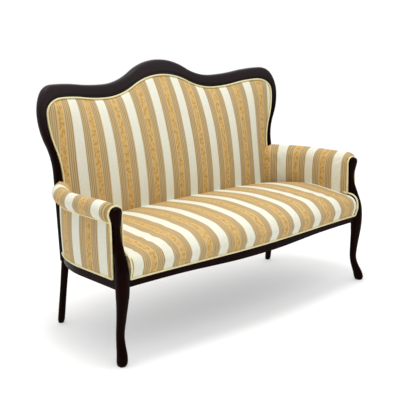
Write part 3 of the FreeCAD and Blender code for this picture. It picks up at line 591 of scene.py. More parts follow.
def set_uv(mesh: bpy.types.Mesh, places: Sequence[Flat]) -> None:
    """Give every vertex its place on the cloth, in metres across and along the stripes.

    Args:
        mesh: mesh to be mapped.
        places: one place for each vertex.
    """
    layer = mesh.uv_layers.new(name="cloth")
    for loop in mesh.loops:
        layer.data[loop.index].uv = places[loop.vertex_index]


def tube_mesh(
    name: str, rows: Sequence[Row], sharp: float = 40, uv: Places | None = None
) -> bpy.types.Mesh:
    """Make a closed tube from rings of points.

    Args:
        name: name of the mesh.
        rows: rings, all with the same number of points.
        sharp: angle in degrees from which an edge stays sharp.
        uv: place of every point on the cloth.

    Returns:
        The mesh.
    """
    count = len(rows[0])
    points = [point for row in rows for point in row]
    faces = []
    for row in range(len(rows) - 1):
        for column in range(count):
            beside = (column + 1) % count
            low = row * count
            high = low + count
            faces.append((low + column, low + beside, high + beside, high + column))
    faces.append(tuple(range(count)))
    faces.append(tuple(range(len(points) - count, len(points))))
    mesh = bpy.data.meshes.new(name)
    mesh.from_pydata(points, [], faces)
    if uv is not None:
        set_uv(mesh, [place for row in uv for place in row])
    finish_mesh(mesh, sharp)
    return mesh


def slab_mesh(name: str, top: Sequence[Row], bottom: Sequence[Row], uv: Places) -> bpy.types.Mesh:
    """Close a grid of points with a second grid behind it.

    Args:
        name: name of the mesh.
        top: the grid that shows.
        bottom: the grid behind it, with as many points.
        uv: place of every point on the cloth.

    Returns:
        The mesh.
    """
    count = len(top[0])
    points = [point for row in top for point in row]
    shift = len(points)
    points += [point for row in bottom for point in row]
    faces = []
    for row in range(len(top) - 1):
        for column in range(count - 1):
            a = row * count + column
            b = a + count
            faces.append((a, a + 1, b + 1, b))
            faces.append((a + shift, b + shift, b + shift + 1, a + shift + 1))
    last = (len(top) - 1) * count
    rim = list(range(count)) + [row * count + count - 1 for row in range(1, len(top))]
    rim += [last + column for column in range(count - 2, -1, -1)]
    rim += [row * count for row in range(len(top) - 2, 0, -1)]
    for here, there in zip(rim, rim[1:] + rim[:1]):
        faces.append((here, here + shift, there + shift, there))
    mesh = bpy.data.meshes.new(name)
    mesh.from_pydata(points, [], faces)
    places = [place for row in uv for place in row]
    set_uv(mesh, places + places)
    finish_mesh(mesh, 60)
    return mesh


def place_piece(
    piece: bpy.types.Object, nodes: Sequence[str], material: bpy.types.Material
) -> None:
    """Dress a piece and tie it to the body and the nodes that it stands for.

    Args:
        piece: the piece.
        nodes: solids that it replaces.
        material: its material.
    """
    piece.data.materials.clear()
    piece.data.materials.append(material)
    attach(piece, "root")
    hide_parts(*nodes)
    logger.info("%s stands for %s", piece.name, ", ".join(nodes))


def border_distance(index: int, count: int) -> int:
    """Count the steps from a grid line to the nearer border."""
    return min(index, count - 1 - index)


def tacked_points(piece: bpy.types.Object, rows: range, columns: range, count: int) -> list[int]:
    """List the vertices outside the free middle of a grid.

    Args:
        piece: the piece, whose grid comes first among its vertices.
        rows: the free rows.
        columns: the free columns.
        count: number of points in a row.

    Returns:
        The vertices that stay in place.
    """
    free = {row * count + column for row in rows for column in columns}
    return [index for index in range(len(piece.data.vertices)) if index not in free]


@dataclass(frozen=True)
class Stuffing:
    """How a padded cover is blown up by its filling."""

    pressure: float
    most_move: float
    frames: int = 20
    quality: int = 4
    mass: float = 0.4
    stiffness: float = 15.0
    bending: float = 0.5

    def fill(self, piece: bpy.types.Object, pinned: Sequence[int]) -> None:
        """Simulate the cover under its filling's pressure and keep the resulting shape.

        Args:
            piece: the padded piece.
            pinned: vertices that are tacked down.
        """
        group = piece.vertex_groups.new(name="tacked")
        group.add(list(pinned), 1.0, "REPLACE")
        cloth = piece.modifiers.new("cover", "CLOTH")
        settings = cloth.settings
        settings.quality = self.quality
        settings.mass = self.mass
        settings.tension_stiffness = self.stiffness
        settings.compression_stiffness = self.stiffness
        settings.shear_stiffness = self.stiffness
        settings.bending_stiffness = self.bending
        settings.use_pressure = True
        settings.uniform_pressure_force = self.pressure
        settings.effector_weights.gravity = 0
        settings.vertex_group_mass = "tacked"
        settings.pin_stiffness = 1.0
        cloth.collision_settings.use_collision = False
        cloth.point_cache.frame_start = 1
        cloth.point_cache.frame_end = self.frames
        scene = bpy.context.scene
        for step in range(1, self.frames + 1):
            scene.frame_set(step)
        blown = piece.evaluated_get(bpy.context.evaluated_depsgraph_get())
        places = [vertex.co.copy() for vertex in blown.data.vertices]
        piece.modifiers.remove(cloth)
        piece.vertex_groups.remove(group)
        scene.frame_set(1)
        furthest = 0.0
        for vertex, place in zip(piece.data.vertices, places):
            move = place - vertex.co
            furthest = max(furthest, move.length)
            if move.length > 0:
                move *= self.most_move * math.tanh(move.length / self.most_move) / move.length
            vertex.co += move
        piece.data.update()
        logger.info("%s swells by %.1f mm before its limit", piece.name, 1000 * furthest)


# Materials


@dataclass(frozen=True)
class StripeFinish:
    """Colours of the striped damask, linear red, green and blue, and the widths of its stripes.

    The halves and the blend are shares of the pitch, counted from the middle of the gold stripe. The scales
    give how often a pattern changes in a metre across and along.
    """

    gold: Colour = (0.60, 0.385, 0.125)
    gold_shade: Colour = (0.47, 0.255, 0.050)
    cream: Colour = (0.75, 0.75, 0.635)
    cream_shade: Colour = (0.68, 0.675, 0.545)
    tan: Colour = (0.55, 0.40, 0.195)
    tan_shade: Colour = (0.31, 0.21, 0.085)
    line: Colour = (0.62, 0.46, 0.24)
    pitch: float = 0.1357
    gold_half: float = 0.088
    line_half: float = 0.110
    tan_half: float = 0.348
    border_blend: float = 0.004
    rib: float = 0.0079
    thread: float = 0.0016
    streak_scale: Scale = (420.0, 9.0, 1.0)
    motif_scale: Scale = (105.0, 66.0, 1.0)
    scroll_scale: Scale = (80.0, 80.0, 1.0)
    roughness: float = 0.82


@dataclass(frozen=True)
class WoodFinish:
    """Colours and sheen of a wood, and the heights between which its sheen changes from low to high; the
    colour high is a painted highlight mixed in towards the top, and the specular level rises with it.
    """

    light: Colour
    dark: Colour
    roughness: float
    coat: float
    grain: float
    specular: float
    low_specular: float
    # Painted highlight: a lighter colour mixed into the base colour towards the top, standing in for
    # reflected light
    high: Colour
    painted_sheen_share: float
    painted_sheen_from: float = 0.70
    painted_sheen_to: float = 1.0
    figure_scale: Scale = (9.0, 9.0, 2.2)
    pore_scale: Scale = (260.0, 260.0, 22.0)
    pore_roughness: float = 0.18
    coat_roughness: float = 0.22


@dataclass(frozen=True)
class WeaveFinish:
    """Colours and thread pitch of a plain cloth."""

    light: Colour
    dark: Colour
    thread: float
    roughness: float = 0.9


SHOW_WOOD = WoodFinish(
    light=(0.0085, 0.0014, 0.0007),
    dark=(0.0034, 0.0007, 0.0004),
    roughness=0.32,
    coat=0.02,
    grain=1.0,
    specular=0.06,
    low_specular=0.015,
    # Painted sheen: a lighter, cooler colour mixed in towards the crest, which leaves the legs darker
    high=(0.030, 0.023, 0.026),
    painted_sheen_share=0.8,
)
BEECH = WoodFinish(
    light=(0.48, 0.31, 0.17),
    dark=(0.36, 0.21, 0.10),
    roughness=0.6,
    coat=0.0,
    grain=0.8,
    specular=0.5,
    low_specular=0.5,
    high=(0.48, 0.31, 0.17),
    painted_sheen_share=0.0,
)
WEAVES = {
    Slot.WEBBING: WeaveFinish((0.36, 0.24, 0.11), (0.22, 0.14, 0.06), 0.003),
    Slot.HESSIAN: WeaveFinish((0.42, 0.30, 0.15), (0.24, 0.16, 0.07), 0.002),
    Slot.FOAM: WeaveFinish((0.76, 0.68, 0.44), (0.66, 0.58, 0.36), 0.004),
    Slot.WELT: WeaveFinish((0.86, 0.80, 0.48), (0.70, 0.62, 0.32), 0.0022, 0.75),
    Slot.DUST: WeaveFinish((0.012, 0.012, 0.012), (0.006, 0.006, 0.006), 0.0015),
}


class NodeBench:
    """Adds nodes and links to one node tree."""

    def __init__(self, tree: bpy.types.NodeTree) -> None:
        """Start on a tree."""
        self.tree = tree
        self.count = 0

    def add(self, kind: str, **settings: object) -> bpy.types.Node:
        """Add a node and set its properties.

        Args:
            kind: type of the node.
            settings: properties by their names.

        Returns:
            The node.
        """
        node = self.tree.nodes.new(kind)
        node.location = (180 * (self.count % 12), -220 * (self.count // 12))
        self.count += 1
        for name, value in settings.items():
            setattr(node, name, value)
        return node

    def wire(self, value: object, socket: bpy.types.NodeSocket) -> None:
        """Link an output to a socket, or set the socket's own value.

        Args:
            value: output to link, or value to set.
            socket: input that takes it.
        """
        if isinstance(value, bpy.types.NodeSocket):
            self.tree.links.new(value, socket)
        else:
            socket.default_value = value

    def math(self, operation: str, *values: object) -> bpy.types.NodeSocket:
        """Add a number node and give its output.

        Args:
            operation: what it works out.
            values: up to three numbers or outputs.

        Returns:
            The node's output.
        """
        node = self.add("ShaderNodeMath", operation=operation)
        for value, socket in zip(values, node.inputs):
            self.wire(value, socket)
        return node.outputs[0]

    def step(self, value: object, low: float, high: float) -> bpy.types.NodeSocket:
        """Blend from 0 to 1 between two values.

        Args:
            value: number or output to blend by.
            low: value that gives 0.
            high: value that gives 1.

        Returns:
            The node's output.
        """
        node = self.add("ShaderNodeMapRange", interpolation_type="SMOOTHSTEP")
        self.wire(value, node.inputs["Value"])
        node.inputs["From Min"].default_value = low
        node.inputs["From Max"].default_value = high
        return node.outputs["Result"]

    def mix(self, share: object, first: object, second: object) -> bpy.types.NodeSocket:
        """Mix two colours.

        Args:
            share: share of the second colour.
            first: first colour, or an output.
            second: second colour, or an output.

        Returns:
            The mixed colour's output.
        """
        node = self.add("ShaderNodeMix", data_type="RGBA")
        sockets = [socket for socket in node.inputs if socket.enabled]
        for value, socket in zip((share, first, second), sockets):
            if isinstance(value, tuple) and len(value) == 3:
                socket.default_value = (*value, 1.0)
            else:
                self.wire(value, socket)
        return next(socket for socket in node.outputs if socket.enabled)

    def noise(
        self, vector: object, scale: float, detail: float = 2.0, roughness: float = 0.5
    ) -> bpy.types.NodeSocket:
        """Add a noise and give its value.

        Args:
            vector: place to read it at.
            scale: how often it changes in a metre.
            detail: number of finer layers.
            roughness: strength of the finer layers.

        Returns:
            The noise's output.
        """
        node = self.add("ShaderNodeTexNoise")
        self.wire(vector, node.inputs["Vector"])
        node.inputs["Scale"].default_value = scale
        node.inputs["Detail"].default_value = detail
        node.inputs["Roughness"].default_value = roughness
        return node.outputs["Fac"]

    def stretch(self, vector: object, scale: Scale) -> bpy.types.NodeSocket:
        """Scale a place along its axes.

        Args:
            vector: output that gives the place.
            scale: factor for each axis.

        Returns:
            The node's output.
        """
        node = self.add("ShaderNodeMapping")
        self.wire(vector, node.inputs["Vector"])
        node.inputs["Scale"].default_value = scale
        return node.outputs["Vector"]

    def bump(self, height: object, strength: float, distance: float) -> bpy.types.NodeSocket:
        """Turn a height into a normal.

        Args:
            height: output that gives the height.
            strength: strength of the relief.
            distance: depth of the relief.

        Returns:
            The normal's output.
        """
        node = self.add("ShaderNodeBump")
        node.inputs["Strength"].default_value = strength
        node.inputs["Distance"].default_value = distance
        self.wire(height, node.inputs["Height"])
        return node.outputs["Normal"]


def weave_group() -> bpy.types.NodeTree:
    """Make the shared group that gives a plain weave's height from a place on the cloth.

    Returns:
        The node group.
    """
    group = bpy.data.node_groups.new("plain_weave", "ShaderNodeTree")
    group.interface.new_socket("Place", in_out="INPUT", socket_type="NodeSocketVector")
    group.interface.new_socket("Thread", in_out="INPUT", socket_type="NodeSocketFloat")
    group.interface.new_socket("Height", in_out="OUTPUT", socket_type="NodeSocketFloat")
    bench = NodeBench(group)
    given = bench.add("NodeGroupInput")
    result = bench.add("NodeGroupOutput")
    parts = bench.add("ShaderNodeSeparateXYZ")
    bench.wire(given.outputs["Place"], parts.inputs[0])
    waves = []
    for axis in range(3):
        turns = bench.math("DIVIDE", parts.outputs[axis], given.outputs["Thread"])
        waves.append(bench.math("SINE", bench.math("MULTIPLY", turns, 2 * math.pi)))
    height = bench.math("MULTIPLY", waves[0], waves[1])
    height = bench.math("ADD", height, bench.math("MULTIPLY", waves[2], 0.5))
    bench.wire(height, result.inputs["Height"])
    return group


def open_material(name: str) -> tuple[bpy.types.Material, NodeBench, bpy.types.Node]:
    """Start a material and give it with its bench and its surface node.

    Args:
        name: name of the material.

    Returns:
        The material, its bench and its surface node.
    """
    material = bpy.data.materials.new(name)
    material.use_nodes = True
    bench = NodeBench(material.node_tree)
    return material, bench, material.node_tree.nodes["Principled BSDF"]


def wood_material(slot: Slot, finish: WoodFinish) -> bpy.types.Material:
    """Make a wood with fine long grain, a soft polish and a painted sheen that lightens its colour towards
    the top.

    Args:
        slot: slot that it is for.
        finish: its colours and sheen.

    Returns:
        The material.
    """
    material, bench, surface = open_material(slot.value)
    place = bench.add("ShaderNodeTexCoord").outputs["Object"]
    figure = bench.noise(bench.stretch(place, finish.figure_scale), 4.0, 4.0, 0.6)
    pores = bench.noise(bench.stretch(place, finish.pore_scale), 3.0, 3.0, 0.6)
    blend = bench.math("ADD", bench.math("MULTIPLY", figure, 0.65), bench.math("MULTIPLY", pores, 0.35))
    height = bench.add("ShaderNodeSeparateXYZ")
    bench.wire(place, height.inputs[0])
    tone = bench.mix(bench.step(blend, 0.36, 0.64), finish.dark, finish.light)
    # Painted sheen: the high colour is mixed into the base colour by height, lighter towards the top, in
    # place of reflected light; the specular level rises over the same heights
    rise = bench.step(height.outputs["Z"], finish.painted_sheen_from, finish.painted_sheen_to)
    share = bench.math("MULTIPLY", rise, finish.painted_sheen_share)
    bench.wire(bench.mix(share, tone, finish.high), surface.inputs["Base Color"])
    smoothest = finish.roughness - finish.pore_roughness / 2
    rough = bench.math("MULTIPLY_ADD", pores, finish.pore_roughness, smoothest)
    bench.wire(rough, surface.inputs["Roughness"])
    sheen_gain = finish.specular - finish.low_specular
    sheen = bench.math("MULTIPLY_ADD", rise, sheen_gain, finish.low_specular)
    bench.wire(sheen, surface.inputs["Specular IOR Level"])
    bench.wire(finish.coat, surface.inputs["Coat Weight"])
    bench.wire(finish.coat_roughness, surface.inputs["Coat Roughness"])
    bench.wire(bench.bump(pores, 0.12 * finish.grain, 0.0006), surface.inputs["Normal"])
    return material


def cloth_material(slot: Slot, finish: WeaveFinish, weave: bpy.types.NodeTree) -> bpy.types.Material:
    """Make a plain woven cloth of two tones.

    Args:
        slot: slot that it is for.
        finish: its colours and thread.
        weave: the shared weave group.

    Returns:
        The material.
    """
    material, bench, surface = open_material(slot.value)
    place = bench.add("ShaderNodeTexCoord").outputs["Object"]
    threads = bench.add("ShaderNodeGroup", node_tree=weave)
    bench.wire(place, threads.inputs["Place"])
    threads.inputs["Thread"].default_value = finish.thread
    height = threads.outputs["Height"]
    uneven = bench.noise(place, 90.0)
    share = bench.math("ADD", bench.math("MULTIPLY", height, 0.3), uneven)
    tone = bench.mix(bench.step(share, 0.2, 0.8), finish.dark, finish.light)
    bench.wire(tone, surface.inputs["Base Color"])
    bench.wire(finish.roughness, surface.inputs["Roughness"])
    bench.wire(bench.bump(height, 0.35, 0.0006), surface.inputs["Normal"])
    return material


def steel_material() -> bpy.types.Material:
    """Make the plain steel of the hidden screws.

    Returns:
        The material.
    """
    material, bench, surface = open_material(Slot.STEEL.value)
    place = bench.add("ShaderNodeTexCoord").outputs["Object"]
    streaks = bench.noise(bench.stretch(place, (900.0, 900.0, 60.0)), 2.0)
    bench.wire(bench.mix(streaks, (0.42, 0.42, 0.43), (0.58, 0.58, 0.59)), surface.inputs["Base Color"])
    bench.wire(1.0, surface.inputs["Metallic"])
    bench.wire(bench.math("MULTIPLY", streaks, 0.6), surface.inputs["Roughness"])
    return material


def damask_material(finish: StripeFinish, weave: bpy.types.NodeTree) -> bpy.types.Material:
    """Make the striped damask: gold with a woven motif, ribbed tan and a quiet cream.

    Args:
        finish: colours and pitch of the stripes.
        weave: the shared weave group.

    Returns:
        The material, which reads the piece's cloth map.
    """
    material, bench, surface = open_material(Slot.DAMASK.value)
    cloth = bench.add("ShaderNodeUVMap", uv_map="cloth").outputs["UV"]
    parts = bench.add("ShaderNodeSeparateXYZ")
    bench.wire(cloth, parts.inputs[0])
    across = parts.outputs[0]
    shifted = bench.math("ADD", bench.math("DIVIDE", across, finish.pitch), 0.5)
    off = bench.math("ABSOLUTE", bench.math("SUBTRACT", bench.math("FRACT", shifted), 0.5))

    rib = bench.math("SINE", bench.math("MULTIPLY", across, 2 * math.pi / finish.rib))
    streak = bench.noise(bench.stretch(cloth, finish.streak_scale), 1.0, 2.0)
    rib = bench.math("ADD", rib, bench.math("MULTIPLY", bench.math("SUBTRACT", streak, 0.5), 3.0))
    ribbed = bench.mix(bench.step(rib, -1.0, 0.9), finish.tan_shade, finish.tan)
    motif = bench.noise(bench.stretch(cloth, finish.motif_scale), 1.0, 1.5, 0.55)
    figured = bench.mix(bench.step(motif, 0.47, 0.60), finish.gold, finish.gold_shade)
    scroll = bench.noise(bench.stretch(cloth, finish.scroll_scale), 1.6, 2.0)
    quiet = bench.mix(bench.step(scroll, 0.50, 0.60), finish.cream, finish.cream_shade)
    quiet = bench.mix(0.5, quiet, finish.cream)

    borders = ((finish.gold_half, finish.line), (finish.line_half, ribbed), (finish.tan_half, quiet))
    colour = figured
    for half, beyond in borders:
        past = bench.step(off, half - finish.border_blend, half + finish.border_blend)
        colour = bench.mix(past, colour, beyond)

    threads = bench.add("ShaderNodeGroup", node_tree=weave)
    bench.wire(cloth, threads.inputs["Place"])
    threads.inputs["Thread"].default_value = finish.thread
    height = threads.outputs["Height"]
    shade = bench.math("MULTIPLY_ADD", height, 0.06, 0.06)
    colour = bench.mix(shade, colour, finish.tan_shade)
    bench.wire(colour, surface.inputs["Base Color"])
    bench.wire(finish.roughness, surface.inputs["Roughness"])
    relief = bench.math("ADD", height, bench.math("MULTIPLY", motif, 2.0))
    bench.wire(bench.bump(relief, 0.25, 0.0005), surface.inputs["Normal"])
    return material


def make_materials() -> dict[Slot, bpy.types.Material]:
    """Make one material for each slot of the record.

    Returns:
        The materials by their slots.
    """
    weave = weave_group()
    materials = {slot: cloth_material(slot, finish, weave) for slot, finish in WEAVES.items()}
    materials[Slot.SHOW_WOOD] = wood_material(Slot.SHOW_WOOD, SHOW_WOOD)
    materials[Slot.BEECH] = wood_material(Slot.BEECH, BEECH)
    materials[Slot.STEEL] = steel_material()
    materials[Slot.DAMASK] = damask_material(StripeFinish(), weave)
    return materials


# Wooden frame


@dataclass(frozen=True)
class BackFrame:
    """The crest rail and the two back posts with their rear legs."""

    material: bpy.types.Material
    top_count: int = 70
    side_count: int = 46
    leg_sides: int = 28
    leg_rise: float = 0.005
    sharp: float = 32

    def profile(self, width: float) -> list[tuple[float, float]]:
        """List the moulding's section as distance from the inner outline and depth behind the face.

        Args:
            width: distance from the inner outline to the outer one.

        Returns:
            The section's corners.
        """
        back = SIZES.frame_thickness
        ledge = -SIZES.ledge_width
        return [
            (ledge, back - 0.002),
            (ledge, 0.0125),
            (0.0, 0.0120),
            (0.0, 0.0070),
            (0.0012, 0.0048),
            (0.0040, 0.0036),
            (0.0080, 0.0036),
            (0.0108, 0.0050),
            (0.0118, 0.0050),
            (0.0124, 0.0022),
            (0.0145, 0.0006),
            (0.0180, 0.0000),
            (0.5 * width, -0.0012),
            (width - 0.0120, 0.0002),
            (width - 0.0070, 0.0016),
            (width - 0.0034, 0.0046),
            (width - 0.0012, 0.0090),
            (width, 0.0150),
            (width, back - 0.0090),
            (width - 0.0010, back - 0.0045),
            (width - 0.0035, back - 0.0012),
            (width - 0.0070, back),
        ]

    def ring(self) -> bpy.types.Mesh:
        """Make the crest and both stiles in one.

        Returns:
            The mesh.
        """
        inner = inner_outline(0.0, SIZES.rail_bottom).stations(self.top_count, self.side_count)
        outer = outer_outline().stations(self.top_count, self.side_count)
        rows = []
        for near, far in zip(inner, outer):
            width = math.dist(near, far)
            row = []
            for offset, depth in self.profile(width):
                share = offset / width
                x = near[0] + (far[0] - near[0]) * share
                z = near[1] + (far[1] - near[1]) * share
                row.append(Vector((x, SIZES.back_y(x, z, depth), z)))
            rows.append(row)
        return tube_mesh("back_ring", rows, self.sharp)

    def part(
        self, ring: bpy.types.Mesh, name: str, cuts: Sequence[tuple[Vector, Vector]]
    ) -> bpy.types.Mesh:
        """Cut the ring to one piece.

        Args:
            ring: the crest and both stiles in one.
            name: name of the new mesh.
            cuts: planes, each a point and a normal that looks to the side that stays.

        Returns:
            The closed mesh.
        """
        shell = bmesh.new()
        shell.from_mesh(ring)
        for point, normal in cuts:
            geometry = shell.verts[:] + shell.edges[:] + shell.faces[:]
            cut = bmesh.ops.bisect_plane(
                shell, geom=geometry, plane_co=point, plane_no=normal, clear_inner=True
            )
            edges = [item for item in cut["geom_cut"] if isinstance(item, bmesh.types.BMEdge)]
            bmesh.ops.holes_fill(shell, edges=edges, sides=0)
        mesh = bpy.data.meshes.new(name)
        shell.to_mesh(mesh)
        shell.free()
        finish_mesh(mesh, self.sharp)
        return mesh

    def leg(self, side: Side) -> bpy.types.Mesh:
        """Make one splayed round rear leg.

        Args:
            side: side that the leg stands on.

        Returns:
            The mesh.
        """
        s = SIZES
        top_x = s.rail_post_half - (s.waist_band + s.ledge_width) / 2
        foot = Vector((s.rear_foot_out, s.front + s.rear_foot_reach, 0))
        top_y = s.back_y(top_x, s.rail_bottom, s.frame_thickness / 2)
        top = Vector((top_x, top_y, s.rail_bottom + self.leg_rise))
        stations = (
            (0.0, s.rear_foot_diameter * 0.86),
            (0.006, s.rear_foot_diameter),
            (0.04, s.rear_leg_diameter * 0.94),
            (0.1, s.rear_leg_diameter),
            (0.6, s.rear_leg_diameter),
            (1.0, s.rear_leg_top_diameter),
        )
        rows = []
        for share, diameter in blend_stations(stations, 5):
            centre = foot.lerp(top, share)
            row = []
            for step in range(self.leg_sides):
                angle = 2 * math.pi * step / self.leg_sides
                spoke = Vector((math.cos(angle), math.sin(angle), 0)) * (diameter / 2)
                place = centre + spoke
                row.append(Vector((side.value * place.x, place.y, place.z)))
            rows.append(row)
        return tube_mesh(f"{side.word}_rear_leg", rows)

    def build(self) -> None:
        """Make the crest rail and both posts."""
        ring = self.ring()
        joint = Vector((0, 0, SIZES.crest_joint))
        up = Vector((0, 0, 1))
        crest = new_piece("crest", self.part(ring, "crest", [(joint, up)]))
        place_piece(crest, ["crest_rail"], self.material)
        for side in Side:
            outward = Vector((side.value, 0, 0))
            stile = self.part(ring, f"{side.word}_stile", [(joint, -up), (Vector(), outward)])
            shell = bmesh.new()
            shell.from_mesh(stile)
            shell.from_mesh(self.leg(side))
            shell.to_mesh(stile)
            shell.free()
            stile.shade_smooth()
            stile.set_sharp_from_angle(angle=math.radians(self.sharp))
            post = new_piece(f"{side.word}_stile_and_leg", stile)
            place_piece(post, [f"{side.word}_back_post"], self.material)


@dataclass(frozen=True)
class FrontPost:
    """A cabriole front leg that goes on as the arm's stump and ends in a knob."""

    side: Side
    material: bpy.types.Material
    ring_points: int = 40
    squareness: float = 0.72
    ridge: float = 0.0022
    ridge_share: float = 0.55
    sole_rise: float = 0.002
    dome: tuple[Flat, ...] = ((0.0016, 0.72), (0.0024, 0.40), (0.0027, 0.08))

    def stations(self) -> list[list[float]]:
        """List the post's stations from the foot to the top with their heights in metres.

        Returns:
            The stations.
        """
        s = SIZES
        stump = s.post_top - s.rail_bottom
        stations = [(share * s.rail_bottom, *rest) for share, *rest in LEG_STATIONS]
        stations += [(s.rail_bottom + share * stump, *rest) for share, *rest in STUMP_STATIONS]
        return blend_stations(stations, 5)

    def section(self, height: float, aside: float, ahead: float, width: float, depth: float) -> Row:
        """Draw the post's rounded square section with a soft ridge down its front.

        Args:
            height: height above the floor.
            aside: shift outward.
            ahead: shift forward.
            width: share of the post's width.
            depth: share of the post's depth.

        Returns:
            The ring of points.
        """
        s = SIZES
        half_width = width * s.post_width / 2
        half_depth = depth * s.post_depth / 2
        row = []
        for step in range(self.ring_points):
            angle = 2 * math.pi * step / self.ring_points
            cosine = math.cos(angle)
            sine = math.sin(angle)
            across = math.copysign(abs(cosine) ** self.squareness, cosine) * half_width
            along = math.copysign(abs(sine) ** self.squareness, sine) * half_depth
            if sine < 0:
                along -= self.ridge * depth * max(0.0, 1 - abs(across) / (self.ridge_share * half_width))
            x = self.side.value * (s.post_out + aside + across)
            row.append(Vector((x, s.front - ahead + along, height)))
        return row

    def build(self) -> None:
        """Make the post."""
        stations = self.stations()
        rows = [self.section(*station) for station in stations]
        top, aside, ahead, width, depth = stations[-1]
        for rise, share in self.dome:
            rows.append(self.section(top + rise, aside, ahead, width * share, depth * share))
        foot = rows[0]
        sole = [point.copy() for point in foot]
        centre = sum(sole, Vector()) / len(sole)
        for point in sole:
            point.xy = point.xy.lerp(centre.xy, 0.1)
        for point in foot:
            point.z += self.sole_rise
        rows.insert(0, sole)
        post = new_piece(f"{self.side.word}_post", tube_mesh(f"{self.side.word}_post", rows, 50))
        place_piece(post, [f"{self.side.word}_front_post"], self.material)


@dataclass(frozen=True)
class SeatRails:
    """The polished front and side rails that show below the cord."""

    material: bpy.types.Material
    steps: int = 48
    edge: float = 0.0035
    side_start: float = 0.012

    def section(self, thickness: float, low: float, high: float) -> list[Flat]:
        """Draw a rail's section with eased edges.

        Args:
            thickness: the rail's thickness.
            low: height of its lower edge.
            high: height of its top.

        Returns:
            The section's corners as inset and height.
        """
        ease = self.edge
        return [
            (0.0, low + ease),
            (0.0, high - ease),
            (ease, high),
            (thickness - ease, high),
            (thickness, high - ease),
            (thickness, low + ease),
            (thickness - ease, low),
            (ease, low),
            (0.3 * ease, low + 0.3 * ease),
        ]

    def front(self) -> None:
        """Make the bowed front rail."""
        s = SIZES
        half = s.post_out - s.post_width / 4
        rows = []
        for step in range(self.steps + 1):
            x = half * (2 * step / self.steps - 1)
            bow = s.seat_front_y(x)
            outline = self.section(s.front_rail_thickness, s.front_rail_low(x), s.rail_top)
            rows.append([Vector((x, bow + inset, z)) for inset, z in outline])
        rail = new_piece("front_rail", tube_mesh("front_rail", rows, 35))
        place_piece(rail, ["front_seat_rail"], self.material)

    def beside(self, side: Side) -> None:
        """Make one side rail, which turns inward to the back post.

        Args:
            side: side that the rail lies on.
        """
        s = SIZES
        outline = self.section(s.side_rail_thickness, s.rail_bottom, s.rail_top - s.side_rail_drop)
        rows = []
        for step in range(self.steps + 1):
            row = []
            for inset, z in outline:
                far = s.side_length(inset, z, 0.0)
                length = self.side_start + (far - self.side_start) * step / self.steps
                x, y = s.side_place(length, inset)
                row.append(Vector((side.value * x, y, z)))
            rows.append(row)
        rail = new_piece(f"{side.word}_rail", tube_mesh(f"{side.word}_rail", rows, 35))
        place_piece(rail, [f"{side.word}_seat_rail"], self.material)

    def build(self) -> None:
        """Make the three rails."""
        self.front()
        for side in Side:
            self.beside(side)


# Upholstery


def seat_profile() -> list[Flat]:
    """List the side profile as depth behind the rail's face and height.

    Returns:
        The points from the lower front edge to the rear.
    """
    s = SIZES
    wall = (-s.seat_overhang, s.seat_cover_bottom + 0.9 * s.seat_wall_height)
    nose = (s.seat_nose_run - s.seat_overhang, s.seat_nose_height)
    rear = (nose[0] + s.back_reach, s.seat_rear_height)
    rise = s.seat_crown_height - s.seat_nose_height
    stops = (
        (-0.0023, s.seat_cover_bottom - 0.003),
        (0.66 * wall[0], (s.seat_cover_bottom + wall[1]) / 2),
        wall,
        (wall[0] + 0.10 * s.seat_nose_run, wall[1] + 0.56 * (nose[1] - wall[1])),
        (wall[0] + 0.42 * s.seat_nose_run, wall[1] + 0.87 * (nose[1] - wall[1])),
        nose,
        (nose[0] + 0.10, s.seat_nose_height + 0.58 * rise),
        (nose[0] + 0.24, s.seat_crown_height),
        (nose[0] + 0.38, s.seat_crown_height - 0.25 * rise),
        rear,
    )
    return resample(blend_stations(stops, 12), 84)


def seat_end(y: float, z: float) -> float:
    """Give how far the seat reaches sideways between the front posts and the arms.

    Args:
        y: place along the depth.
        z: height.

    Returns:
        The place across.
    """
    s = SIZES
    share = (z - s.rail_bottom) / (s.post_top - s.rail_bottom)
    post = s.post_out - s.post_width / 2
    for low, high in zip(STUMP_STATIONS, STUMP_STATIONS[1:]):
        if low[0] <= share <= high[0]:
            part = (share - low[0]) / (high[0] - low[0])
            aside = low[1] + part * (high[1] - low[1])
            width = low[3] + part * (high[3] - low[3])
            post = s.post_out + aside - width * s.post_width / 2
    turn_x, turn_y = s.turn
    radius = s.side_radius - s.arm_inside_inset - 0.001
    past = max(y - turn_y, 0.0)
    arm = turn_x + math.sqrt(max(radius**2 - past**2, 0.01))
    share = smoothstep(s.front + 0.004, s.front + 0.034, y)
    return (post - 0.001) + (arm - post + 0.001) * share


